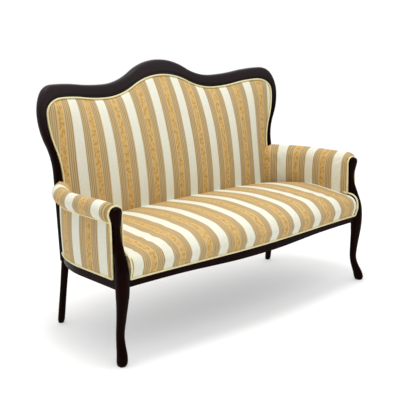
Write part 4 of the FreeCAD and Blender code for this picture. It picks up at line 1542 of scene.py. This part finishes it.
@dataclass(frozen=True)
class SeatPad:
    """The tight, crowned seat with its rounded front."""

    material: bpy.types.Material
    stuffing: Stuffing
    across: int = 141
    tuck_reach: float = 0.022
    tuck_back: float = 0.005
    front_part: float = 0.1
    rim: float = 0.004

    def depth(self, x: float, z: float, behind: float, last: float) -> float:
        """Shorten the profile's depth behind its front part so that it ends at the back frame.

        Args:
            x: place across.
            z: height.
            behind: the profile's depth.
            last: the profile's greatest depth.

        Returns:
            The depth behind the front rail's face.
        """
        if behind < self.front_part:
            return behind
        far = SIZES.back_y(x, z) - BACK_GAP - SIZES.seat_front_y(x)
        shrink = (far - self.front_part) / (last - self.front_part)
        return self.front_part + (behind - self.front_part) * shrink

    def stripe(self, x: float, z: float) -> float:
        """Give the place across the cloth, which is drawn aside a little at the ends of the front."""
        front = 1 - smoothstep(0.385, 0.425, z)
        return x - (0.015 - 0.011 * x) * smoothstep(0.30, 0.46, abs(x)) * front

    def build(self) -> None:
        """Make the seat."""
        s = SIZES
        line = seat_profile()
        top = []
        under = []
        uv = []
        for (behind, z), length in zip(line, run_lengths(line)):
            reach = seat_end(s.seat_front_y(0.6) + behind, z)
            row = []
            below = []
            places = []
            for step in range(self.across):
                x = reach * (2 * step / (self.across - 1) - 1)
                past = max(0.0, (abs(x) - reach + self.tuck_reach) / self.tuck_reach)
                sink = 1 - math.sqrt(1 - past**2)
                drop = s.seat_end_drop * (x / s.front_rail_half) ** 2 + SEAT_TUCK * sink
                drop *= smoothstep(s.seat_cover_bottom, s.seat_nose_height, z)
                y = s.seat_front_y(x) + self.depth(x, z, behind, line[-1][0])
                y += self.tuck_back * sink * (1 - smoothstep(0.0, 0.08, behind))
                row.append(Vector((x, y, z - drop)))
                under_y = max(y, s.seat_front_y(x) - 0.0004)
                under_z = min(z - drop - self.rim, s.rail_top + self.rim)
                below.append(Vector((x, under_y, under_z)))
                places.append((self.stripe(x, z), length))
            top.append(row)
            under.append(below)
            uv.append(places)
        piece = new_piece("seat_pad", slab_mesh("seat_pad", top, under, uv))
        rows = range(3, len(line) - 6)
        columns = range(3, self.across - 3)
        self.stuffing.fill(piece, tacked_points(piece, rows, columns, self.across))
        place_piece(piece, ["seat_cover", "seat_foam"], self.material)


def fill_outline(outline: BackOutline, across: int, along: int) -> list[list[Flat]]:
    """Fill an outline of the back with a grid.

    Args:
        outline: the outline.
        across: number of points in a row.
        along: number of rows.

    Returns:
        The rows from the foot to the crest, each from left to right.
    """
    top_half, side = outline.half()
    top = resample([(-x, z) for x, z in reversed(top_half[1:])] + top_half, across)
    right = list(reversed(resample(side, along)))
    left = [(-x, z) for x, z in right]
    rows = []
    for row in range(along):
        t = row / (along - 1)
        points = []
        for column in range(across):
            s = column / (across - 1)
            low = tuple(a + (b - a) * s for a, b in zip(left[0], right[0]))
            place = []
            for axis in range(2):
                edges = (1 - t) * low[axis] + t * top[column][axis]
                edges += (1 - s) * left[row][axis] + s * right[row][axis]
                corners = (1 - s) * (1 - t) * left[0][axis] + s * (1 - t) * right[0][axis]
                corners += (1 - s) * t * top[0][axis] + s * t * top[-1][axis]
                place.append(edges - corners)
            points.append((place[0], place[1]))
        rows.append(points)
    return rows


@dataclass(frozen=True)
class BackPad:
    """The upholstered back inside its wooden frame."""

    material: bpy.types.Material
    stuffing: Stuffing
    across: int = 141
    along: int = 81
    edge_rise: float = 0.012
    edge_reach: float = 0.030
    edge_tuck: float = 0.0075
    depth: float = 0.008
    sunk: float = 0.003
    stripe_start: float = 0.0044
    stripe_pull: float = 0.045

    def stripe(self, x: float) -> float:
        """Give the place across the cloth, which is pulled a little wider to the left."""
        return x - self.stripe_start + self.stripe_pull * x**2

    def build(self) -> None:
        """Make the back pad."""
        s = SIZES
        outline = inner_outline(-self.edge_tuck, s.back_pad_bottom)
        grid = fill_outline(outline, self.across, self.along)
        height = s.crest_height - s.back_pad_bottom
        swell = blend_stations(BACK_SWELL, 8)
        top = []
        under = []
        uv = []
        for row, points in enumerate(grid):
            front = []
            rear = []
            places = []
            for column, (x, z) in enumerate(points):
                sideways = border_distance(column, self.across) / self.across * 2 * s.widest_half
                upward = (self.along - 1 - row) / self.along * height
                inside = min(sideways, upward)
                rise = self.edge_rise * (1 - math.exp(-inside / self.edge_reach))
                crown = s.back_crown * read_line(swell, (z - s.back_pad_bottom) / height)
                crown *= 1 - (x / s.widest_half) ** 2
                rise += crown * (1 - math.exp(-inside / (2.5 * self.edge_reach)))
                front.append(Vector((x, s.back_y(x, z) + self.sunk - rise, z)))
                rear.append(Vector((x, s.back_y(x, z, self.depth), z)))
                places.append((self.stripe(x), z))
            top.append(front)
            under.append(rear)
            uv.append(places)
        piece = new_piece("back_pad", slab_mesh("back_pad", top, under, uv))
        rows = range(2, self.along - 2)
        columns = range(2, self.across - 2)
        self.stuffing.fill(piece, tacked_points(piece, rows, columns, self.across))
        place_piece(piece, ["back_cover", "back_foam"], self.material)


def post_contour() -> tuple[float, float, float]:
    """Give the middle, half width and shoulder height of the welt round an arm's front.

    Returns:
        The three in this order.
    """
    s = SIZES
    middle = s.post_out + STUMP_STATIONS[-2][1]
    reach = s.post_width * STUMP_STATIONS[-3][3] / 2 + s.welt_diameter / 2 + 0.001
    return middle, reach, s.post_top - reach


def arm_stripe(side: Side, length: float) -> float:
    """Give the place across the cloth at a length along an arm."""
    return (length - ARM_GOLD[side]) * ARM_PULL


@dataclass(frozen=True)
class ArmPad:
    """One arm: a padded roll over its rail and the padding down its inside."""

    side: Side
    material: bpy.types.Material
    stuffing: Stuffing
    steps: int = 72
    gather: float = 0.034
    pleats: int = 17
    pleat_depth: float = 0.0011
    inside_drop: float = 0.056
    roll_count: int = 37
    crowding: float = 1.6
    end_pinch: float = 0.022
    end_share: float = 0.72

    def profile(self) -> list[Flat]:
        """List the arm's section from the seam over the roll to the seat, as inset and height.

        Returns:
            The section's points.
        """
        s = SIZES
        seam = (-s.arm_seam_out, s.arm_seam_height)
        belly = (-s.arm_roll_out, (s.arm_seam_height + s.arm_roll_height) / 2 + 0.006)
        top = (s.arm_roll_top_inset, s.arm_roll_height)
        cheek = (s.arm_inside_inset - 0.014, s.arm_roll_height - 0.017)
        inside = (s.arm_inside_inset, s.arm_roll_height - self.inside_drop)
        foot = (s.arm_inside_inset, s.arm_pad_bottom)
        belly_inside = (s.arm_inside_inset + 0.005, (inside[1] + foot[1]) / 2)
        heel = (s.arm_lining, s.arm_pad_bottom)
        hollow = (s.arm_lining, s.arm_seam_height)
        roll = circle_flat(seam, belly, top, 22)[:-1] + circle_flat(top, cheek, inside, 14)[:-1]
        return roll + circle_flat(inside, belly_inside, foot, 12) + [heel, hollow]

    def contour(self, count: int) -> list[Flat]:
        """List where the section's points are drawn in round the post.

        Args:
            count: number of points of the section.

        Returns:
            The points as inset and height.
        """
        s = SIZES
        middle, reach, shoulder = post_contour()
        outer = s.side_half - middle - reach
        inner = s.side_half - middle + reach
        crown = (s.side_half - middle, shoulder + reach)
        arch = circle_flat((outer, shoulder), crown, (inner, shoulder), 24)
        bend = (inner, s.arm_roll_height - self.inside_drop)
        line = resample([(outer, s.arm_seam_height), *arch, bend], self.roll_count)
        down = [bend, (inner, s.arm_pad_bottom)]
        line += resample(down, count - self.roll_count - 1)[1:]
        return line + [(s.arm_lining, s.arm_pad_bottom), (s.arm_lining, s.arm_seam_height)]

    def build(self) -> None:
        """Make the arm."""
        s = SIZES
        line = self.profile()
        contour = self.contour(len(line))
        around = run_lengths(line)
        ends = [s.side_length(inset, z, SEAM_GAP) for inset, z in line]
        rows = []
        uv = []
        for step in range(self.steps + 1):
            row = []
            places = []
            for index, ((inset, z), (tight_inset, tight_z), end) in enumerate(zip(line, contour, ends)):
                share = step / self.steps
                share = (share + share**self.crowding) / 2
                length = s.arm_front + (end - s.arm_front) * share
                ahead = length - s.arm_front
                full = 1.0
                if ahead < self.gather:
                    full = math.sqrt(1 - (1 - ahead / self.gather) ** 2)
                left = end - length
                if left < self.end_pinch and inset < s.arm_roll_top_inset:
                    round_off = math.sqrt(1 - (1 - left / self.end_pinch) ** 2)
                    full *= self.end_share + (1 - self.end_share) * round_off
                wave = math.sin(self.pleats * index / self.roll_count * math.pi)
                fold = self.pleat_depth * (1 - full) * wave
                fold *= smoothstep(0.0, 0.15, full) if index < self.roll_count else 0.0
                drawn_inset = tight_inset + (inset - tight_inset) * full + fold
                drawn_z = tight_z + (z - tight_z) * full + fold
                x, y = s.side_place(length, drawn_inset)
                row.append(Vector((self.side.value * x, y, drawn_z)))
                places.append((arm_stripe(self.side, length), around[index]))
            rows.append(row)
            uv.append(places)
        name = f"{self.side.word}_arm_pad"
        piece = new_piece(name, tube_mesh(name, rows, 50, uv))
        rows = range(6, self.steps - 4)
        columns = range(3, len(line) - 6)
        self.stuffing.fill(piece, tacked_points(piece, rows, columns, len(line)))
        nodes = [f"{self.side.word}_arm_cover", f"{self.side.word}_arm_foam"]
        place_piece(piece, nodes, self.material)


@dataclass(frozen=True)
class OutsideArm:
    """The slightly bulging panel on an arm's outside, below its roll."""

    side: Side
    material: bpy.types.Material
    steps: int = 60
    rises: int = 24
    bulge: float = 0.007
    fullness: float = 0.6
    tuck_under: float = 0.004

    def build(self) -> None:
        """Make the panel."""
        s = SIZES
        low = s.seat_cover_bottom - self.tuck_under
        high = s.arm_seam_height - HAIR_GAP
        top = []
        under = []
        uv = []
        for rise in range(self.rises + 1):
            v = rise / self.rises
            z = low + (high - low) * v
            end = s.side_length(0.0, z, SEAM_GAP)
            shown = []
            hidden = []
            places = []
            for step in range(self.steps + 1):
                u = step / self.steps
                length = s.arm_front + (end - s.arm_front) * u
                along = math.sin(math.pi * u) ** self.fullness
                upward = math.sin(math.pi * v) ** self.fullness
                x, y = s.side_place(length, -s.cloth - self.bulge * along * upward)
                shown.append(Vector((self.side.value * x, y, z)))
                x, y = s.side_place(length, -HAIR_GAP)
                hidden.append(Vector((self.side.value * x, y, z)))
                places.append((arm_stripe(self.side, length), z))
            top.append(shown)
            under.append(hidden)
            uv.append(places)
        name = f"{self.side.word}_arm_panel"
        piece = new_piece(name, slab_mesh(name, top, under, uv))
        place_piece(piece, [f"{self.side.word}_outside_arm_cover"], self.material)


@dataclass(frozen=True)
class OutsideBack:
    """The cloth stretched over the rear of the back."""

    material: bpy.types.Material
    across: int = 141
    along: int = 81

    def build(self) -> None:
        """Make the outside back."""
        s = SIZES
        outline = inner_outline(s.ledge_width, s.rail_bottom + s.ledge_width)
        grid = fill_outline(outline, self.across, self.along)
        near = s.frame_thickness + HAIR_GAP
        top = []
        under = []
        uv = []
        for points in grid:
            top.append([Vector((x, s.back_y(x, z, near + s.cloth), z)) for x, z in points])
            under.append([Vector((x, s.back_y(x, z, near), z)) for x, z in points])
            uv.append([(x, z) for x, z in points])
        piece = new_piece("outside_back", slab_mesh("outside_back", top, under, uv))
        place_piece(piece, ["outside_back_cover"], self.material)


@dataclass(frozen=True)
class DustCover:
    """The thin cloth stapled under the seat."""

    material: bpy.types.Material
    across: int = 61
    along: int = 41
    thickness: float = 0.0008
    sag: float = 0.004
    side_inset: float = 0.012
    post_gap: float = 0.004

    def reach(self, y: float) -> float:
        """Give how far the cloth reaches sideways at a depth, clear of the front posts.

        Args:
            y: place along the depth.

        Returns:
            The place across.
        """
        s = SIZES
        turn_x, turn_y = s.turn
        side = turn_x + math.sqrt((s.side_radius - self.side_inset) ** 2 - max(y - turn_y, 0.0) ** 2)
        post = s.post_out - s.post_width / 2 - self.post_gap
        return post + (side - post) * smoothstep(s.front + 0.022, s.front + 0.05, y)

    def build(self) -> None:
        """Make the dust cover from the front rail to the back posts."""
        s = SIZES
        top = []
        under = []
        uv = []
        for row in range(self.along):
            v = row / (self.along - 1)
            upper = []
            lower = []
            places = []
            for column in range(self.across):
                u = 2 * column / (self.across - 1) - 1
                x = u * s.front_rail_half
                for _ in range(3):
                    near = s.seat_front_y(x) + 0.75 * s.front_rail_thickness
                    far = s.back_y(x, s.rail_bottom) - BACK_GAP
                    y = near + (far - near) * v
                    x = u * self.reach(y)
                z = s.rail_bottom - HAIR_GAP - self.sag * (1 - u**2) * math.sin(math.pi * v)
                z += (s.front_rail_low(x) - s.rail_bottom) * (1 - smoothstep(0.0, 0.05, y - near))
                upper.append(Vector((x, y, z)))
                lower.append(Vector((x, y, z - self.thickness)))
                places.append((x, y))
            top.append(upper)
            under.append(lower)
            uv.append(places)
        piece = new_piece("dust_cloth", slab_mesh("dust_cloth", top, under, uv))
        place_piece(piece, ["dust_cover"], self.material)
        width = 2 * self.reach(s.turn[1])
        length = s.back_y(0.0, s.rail_bottom) - s.seat_front_y(0.0)


# Welts

# Length of one step along a welt, and number of sides round it
WELT_STEP = 0.004
WELT_SIDES = 12


def welt_tree(material: bpy.types.Material) -> bpy.types.NodeTree:
    """Make the geometry nodes that turn a path into a covered cord.

    Args:
        material: cloth of the cord.

    Returns:
        The node group, with the cord's radius as an input.
    """
    tree = bpy.data.node_groups.new("welt_cord", "GeometryNodeTree")
    tree.interface.new_socket("Path", in_out="INPUT", socket_type="NodeSocketGeometry")
    tree.interface.new_socket("Radius", in_out="INPUT", socket_type="NodeSocketFloat")
    tree.interface.new_socket("Cord", in_out="OUTPUT", socket_type="NodeSocketGeometry")
    bench = NodeBench(tree)
    given = bench.add("NodeGroupInput")
    result = bench.add("NodeGroupOutput")
    even = bench.add("GeometryNodeResampleCurve", mode="LENGTH")
    bench.wire(given.outputs["Path"], even.inputs["Curve"])
    even.inputs["Length"].default_value = WELT_STEP
    ring = bench.add("GeometryNodeCurvePrimitiveCircle")
    ring.inputs["Resolution"].default_value = WELT_SIDES
    bench.wire(given.outputs["Radius"], ring.inputs["Radius"])
    cord = bench.add("GeometryNodeCurveToMesh")
    bench.wire(even.outputs["Curve"], cord.inputs["Curve"])
    bench.wire(ring.outputs["Curve"], cord.inputs["Profile Curve"])
    cord.inputs["Fill Caps"].default_value = True
    smooth = bench.add("GeometryNodeSetShadeSmooth")
    bench.wire(cord.outputs["Mesh"], smooth.inputs["Geometry"])
    real = bench.add("GeometryNodeRealizeInstances")
    bench.wire(smooth.outputs["Geometry"], real.inputs["Geometry"])
    dressed = bench.add("GeometryNodeSetMaterial")
    bench.wire(real.outputs["Geometry"], dressed.inputs["Geometry"])
    dressed.inputs["Material"].default_value = material
    bench.wire(dressed.outputs["Geometry"], result.inputs["Cord"])
    return tree


@dataclass(frozen=True)
class Welt:
    """One length of covered cord along a seam."""

    name: str
    node: str
    path: Callable[[], Row]

    def build(self, tree: bpy.types.NodeTree, material: bpy.types.Material) -> None:
        """Make the welt along its path.

        Args:
            tree: geometry nodes that make the cord.
            material: cloth of the cord.
        """
        line = bpy.data.curves.new(self.name, "CURVE")
        line.dimensions = "3D"
        points = self.path()
        spline = line.splines.new("POLY")
        spline.points.add(len(points) - 1)
        for target, place in zip(spline.points, points):
            target.co = (*place, 1.0)
        route = bpy.data.objects.new(f"{self.name}_route", line)
        bpy.context.scene.collection.objects.link(route)
        cord = route.modifiers.new("cord", "NODES")
        cord.node_group = tree
        inputs = [item for item in tree.interface.items_tree if item.in_out == "INPUT"]
        sockets = {item.name: item.identifier for item in inputs}
        cord[sockets["Radius"]] = SIZES.welt_diameter / 2
        bpy.context.view_layer.update()
        mesh = bpy.data.meshes.new_from_object(route.evaluated_get(bpy.context.evaluated_depsgraph_get()))
        mesh.name = self.name
        bpy.data.objects.remove(route)
        piece = new_piece(self.name, mesh)
        place_piece(piece, [self.node], material)


def back_welt_path() -> Row:
    """Lead the welt round the back's opening.

    Returns:
        The points along it.
    """
    s = SIZES
    offset = -s.welt_diameter / 2 - HAIR_GAP
    below_waist = 0.13
    sunk = 0.001
    outline = inner_outline(offset, s.waist_height - s.waist_band - below_waist)
    return [Vector((x, s.back_y(x, z, sunk), z)) for x, z in outline.stations(160, 90)]


def seat_welt_path() -> Row:
    """Lead the welt along the seat's lower front edge and up its two front ends.

    Returns:
        The points along it, from left to right.
    """
    s = SIZES
    radius = s.welt_diameter / 2
    half = s.post_out - s.post_width / 2 - radius
    steps = 80
    places = [half * (2 * step / steps - 1) for step in range(steps + 1)]
    front = [Vector((x, s.seat_front_y(x) - radius, s.welt_height)) for x in places]
    rising = []
    for behind, z in seat_profile():
        y = s.seat_front_y(half) + behind
        if s.welt_height + s.welt_diameter < z and behind < s.seat_nose_run:
            rising.append(Vector((seat_end(y, z) - radius / 2, y - radius / 2, z - SEAT_TUCK / 2)))
    left = [Vector((-point.x, point.y, point.z)) for point in reversed(rising)]
    return left + front + rising


def side_welt_path(side: Side, out: float, z: float) -> Row:
    """Lead a welt along one side from the front post to the back post.

    Args:
        side: side of the settee.
        out: distance outward from the side.
        z: height.

    Returns:
        The path.
    """
    s = SIZES
    near = s.arm_front
    far = s.side_length(-out, z, 0.001)
    steps = 70
    places = [s.side_place(near + (far - near) * step / steps, -out) for step in range(steps + 1)]
    return [Vector((side.value * x, y, z)) for x, y in places]


def front_welt_path(side: Side) -> Row:
    """Lead the welt up an arm's front on the inside, over the knob and down the outside.

    Args:
        side: side of the settee.

    Returns:
        The path.
    """
    s = SIZES
    middle, reach, shoulder = post_contour()
    inside = middle - reach
    arch = circle_flat((inside, shoulder), (middle, shoulder + reach), (middle + reach, shoulder), 30)
    rising = [(inside, s.seat_nose_height - 0.004), *arch]
    edge = s.side_half + s.welt_diameter / 2
    falling = [(edge, s.arm_seam_height - s.welt_diameter), (edge, s.welt_height)]
    line = resample([*rising, *falling], 140)
    y = s.front + s.arm_front - s.welt_diameter / 2
    return [Vector((side.value * x, y, z)) for x, z in line]


def make_welts(material: bpy.types.Material) -> None:
    """Make every welt of the settee.

    Args:
        material: cloth of the cord.
    """
    s = SIZES
    welts = [
        Welt("back_cord", "back_welt", back_welt_path),
        Welt("seat_cord", "seat_welt", seat_welt_path),
    ]
    roll_out = s.cloth + s.welt_diameter / 2
    roll_z = s.arm_seam_height - s.welt_diameter / 2
    rail_out = s.welt_diameter / 2
    for side in Side:
        word = side.word
        roll_path = partial(side_welt_path, side, roll_out, roll_z)
        rail_path = partial(side_welt_path, side, rail_out, s.welt_height)
        welts += [
            Welt(f"{word}_roll_cord", f"{word}_arm_roll_welt", roll_path),
            Welt(f"{word}_rail_cord", f"{word}_side_rail_welt", rail_path),
            Welt(f"{word}_front_cord", f"{word}_arm_front_welt", partial(front_welt_path, side)),
        ]
    tree = welt_tree(material)
    for welt in welts:
        welt.build(tree, material)


# Studio


@dataclass(frozen=True)
class Lamp:
    """One soft square lamp that looks at the seat."""

    name: str
    place: tuple[float, float, float]
    size: float
    power: float
    aim: tuple[float, float, float] = (0.0, 0.0, 0.45)

    def build(self) -> None:
        """Hang the lamp."""
        data = bpy.data.lights.new(self.name, "AREA")
        data.size = self.size
        data.energy = self.power
        lamp = bpy.data.objects.new(self.name, data)
        bpy.context.scene.collection.objects.link(lamp)
        lamp.location = self.place
        lamp.rotation_euler = (Vector(self.aim) - Vector(self.place)).to_track_quat("-Z", "Y").to_euler()


LAMPS = (Lamp("key", (-1.2, -1.9, 3.4), 2.0, 19.0), Lamp("over", (-0.2, -0.1, 4.6), 1.2, 84.0))


@dataclass(frozen=True)
class Studio:
    """Camera, light and a plain pale floor."""

    camera_place: tuple[float, float, float] = (-2.184, -2.436, 1.201)
    azimuth: float = -41.381
    elevation: float = 13.128
    roll: float = -1.169
    lens: float = 72.63
    sensor: float = 36.0
    floor_reach: float = 90.0
    floor_light: Colour = (0.67, 0.67, 0.67)
    floor_dark: Colour = (0.66, 0.66, 0.66)
    floor_glow: float = 0.325
    room_level: float = 0.74
    room_swing: float = 0.48
    bright_way: tuple[float, float, float] = (0.5, 0.5, 0.707)

    def camera(self) -> None:
        """Set the camera where the photograph was taken."""
        turn = math.radians(self.azimuth)
        lift = math.radians(self.elevation)
        lean = math.radians(self.roll)
        level = Vector((math.cos(turn), math.sin(turn), 0))
        ahead = Vector((-math.sin(turn), math.cos(turn), 0))
        back = Vector((0, 0, math.sin(lift))) - ahead * math.cos(lift)
        over = back.cross(level)
        right = level * math.cos(lean) + over * math.sin(lean)
        up = over * math.cos(lean) - level * math.sin(lean)
        data = bpy.data.cameras.new("camera")
        data.lens = self.lens
        data.sensor_width = self.sensor
        camera = bpy.data.objects.new("camera", data)
        bpy.context.scene.collection.objects.link(camera)
        turned = Matrix((right, up, back)).transposed().to_4x4()
        camera.matrix_world = Matrix.Translation(self.camera_place) @ turned
        bpy.context.scene.camera = camera

    def floor(self) -> None:
        """Lay the pale floor."""
        mesh = bpy.data.meshes.new("floor")
        reach = self.floor_reach
        corners = [(-reach, -reach, 0), (reach, -reach, 0), (reach, reach, 0), (-reach, reach, 0)]
        mesh.from_pydata([Vector(corner) for corner in corners], [], [(0, 1, 2, 3)])
        floor = new_piece("floor", mesh)
        material, bench, surface = open_material("floor")
        place = bench.add("ShaderNodeTexCoord").outputs["Object"]
        tone = bench.mix(bench.noise(place, 0.6), self.floor_dark, self.floor_light)
        bench.wire(tone, surface.inputs["Base Color"])
        bench.wire(0.9, surface.inputs["Roughness"])
        bench.wire((1.0, 1.0, 1.0, 1.0), surface.inputs["Emission Color"])
        bench.wire(self.floor_glow, surface.inputs["Emission Strength"])
        mesh.materials.append(material)

    def surround(self) -> bpy.types.World:
        """Make the pale room, brighter overhead and behind the settee than on the camera's side.

        Returns:
            The world.
        """
        world = bpy.data.worlds.new("studio")
        world.use_nodes = True
        bench = NodeBench(world.node_tree)
        way = bench.add("ShaderNodeTexCoord").outputs["Generated"]
        facing = bench.add("ShaderNodeVectorMath", operation="DOT_PRODUCT")
        bench.wire(way, facing.inputs[0])
        facing.inputs[1].default_value = self.bright_way
        strength = bench.math("MULTIPLY_ADD", facing.outputs["Value"], self.room_swing, self.room_level)
        background = world.node_tree.nodes["Background"]
        background.inputs["Color"].default_value = (1.0, 1.0, 1.0, 1.0)
        bench.wire(strength, background.inputs["Strength"])
        return world

    def build(self) -> None:
        """Set up the studio."""
        self.camera()
        self.floor()
        for lamp in LAMPS:
            lamp.build()
        scene = bpy.context.scene
        scene.world = self.surround()
        scene.view_settings.view_transform = "Standard"


def dress_hidden(materials: dict[Slot, bpy.types.Material]) -> None:
    """Give every solid that stays its slot's material.

    Args:
        materials: one material for each slot.
    """
    slots = {row["node"]: row["material_slot"] for row in frame["record"]["subparts"]}
    for name, node in frame["nodes"].items():
        if not node.hide_render:
            node.data.materials.clear()
            node.data.materials.append(materials[Slot(slots[name])])
            logger.info("%s keeps its solid", name)


def build_settee() -> None:
    """Dress the whole settee."""
    materials = make_materials()
    wood = materials[Slot.SHOW_WOOD]
    damask = materials[Slot.DAMASK]
    BackFrame(wood).build()
    SeatRails(wood).build()
    for side in Side:
        FrontPost(side, wood).build()
    BackPad(damask, Stuffing(2.0, 0.010)).build()
    SeatPad(damask, Stuffing(1.2, 0.012)).build()
    OutsideBack(damask).build()
    DustCover(materials[Slot.DUST]).build()
    for side in Side:
        ArmPad(side, damask, Stuffing(1.5, 0.004)).build()
        OutsideArm(side, damask).build()
    make_welts(materials[Slot.WELT])
    dress_hidden(materials)


def main() -> None:
    """Build the scene."""
    logging.basicConfig(level=logging.INFO)
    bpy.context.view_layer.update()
    build_settee()
    Studio().build()


if __name__ == "__main__":
    main()
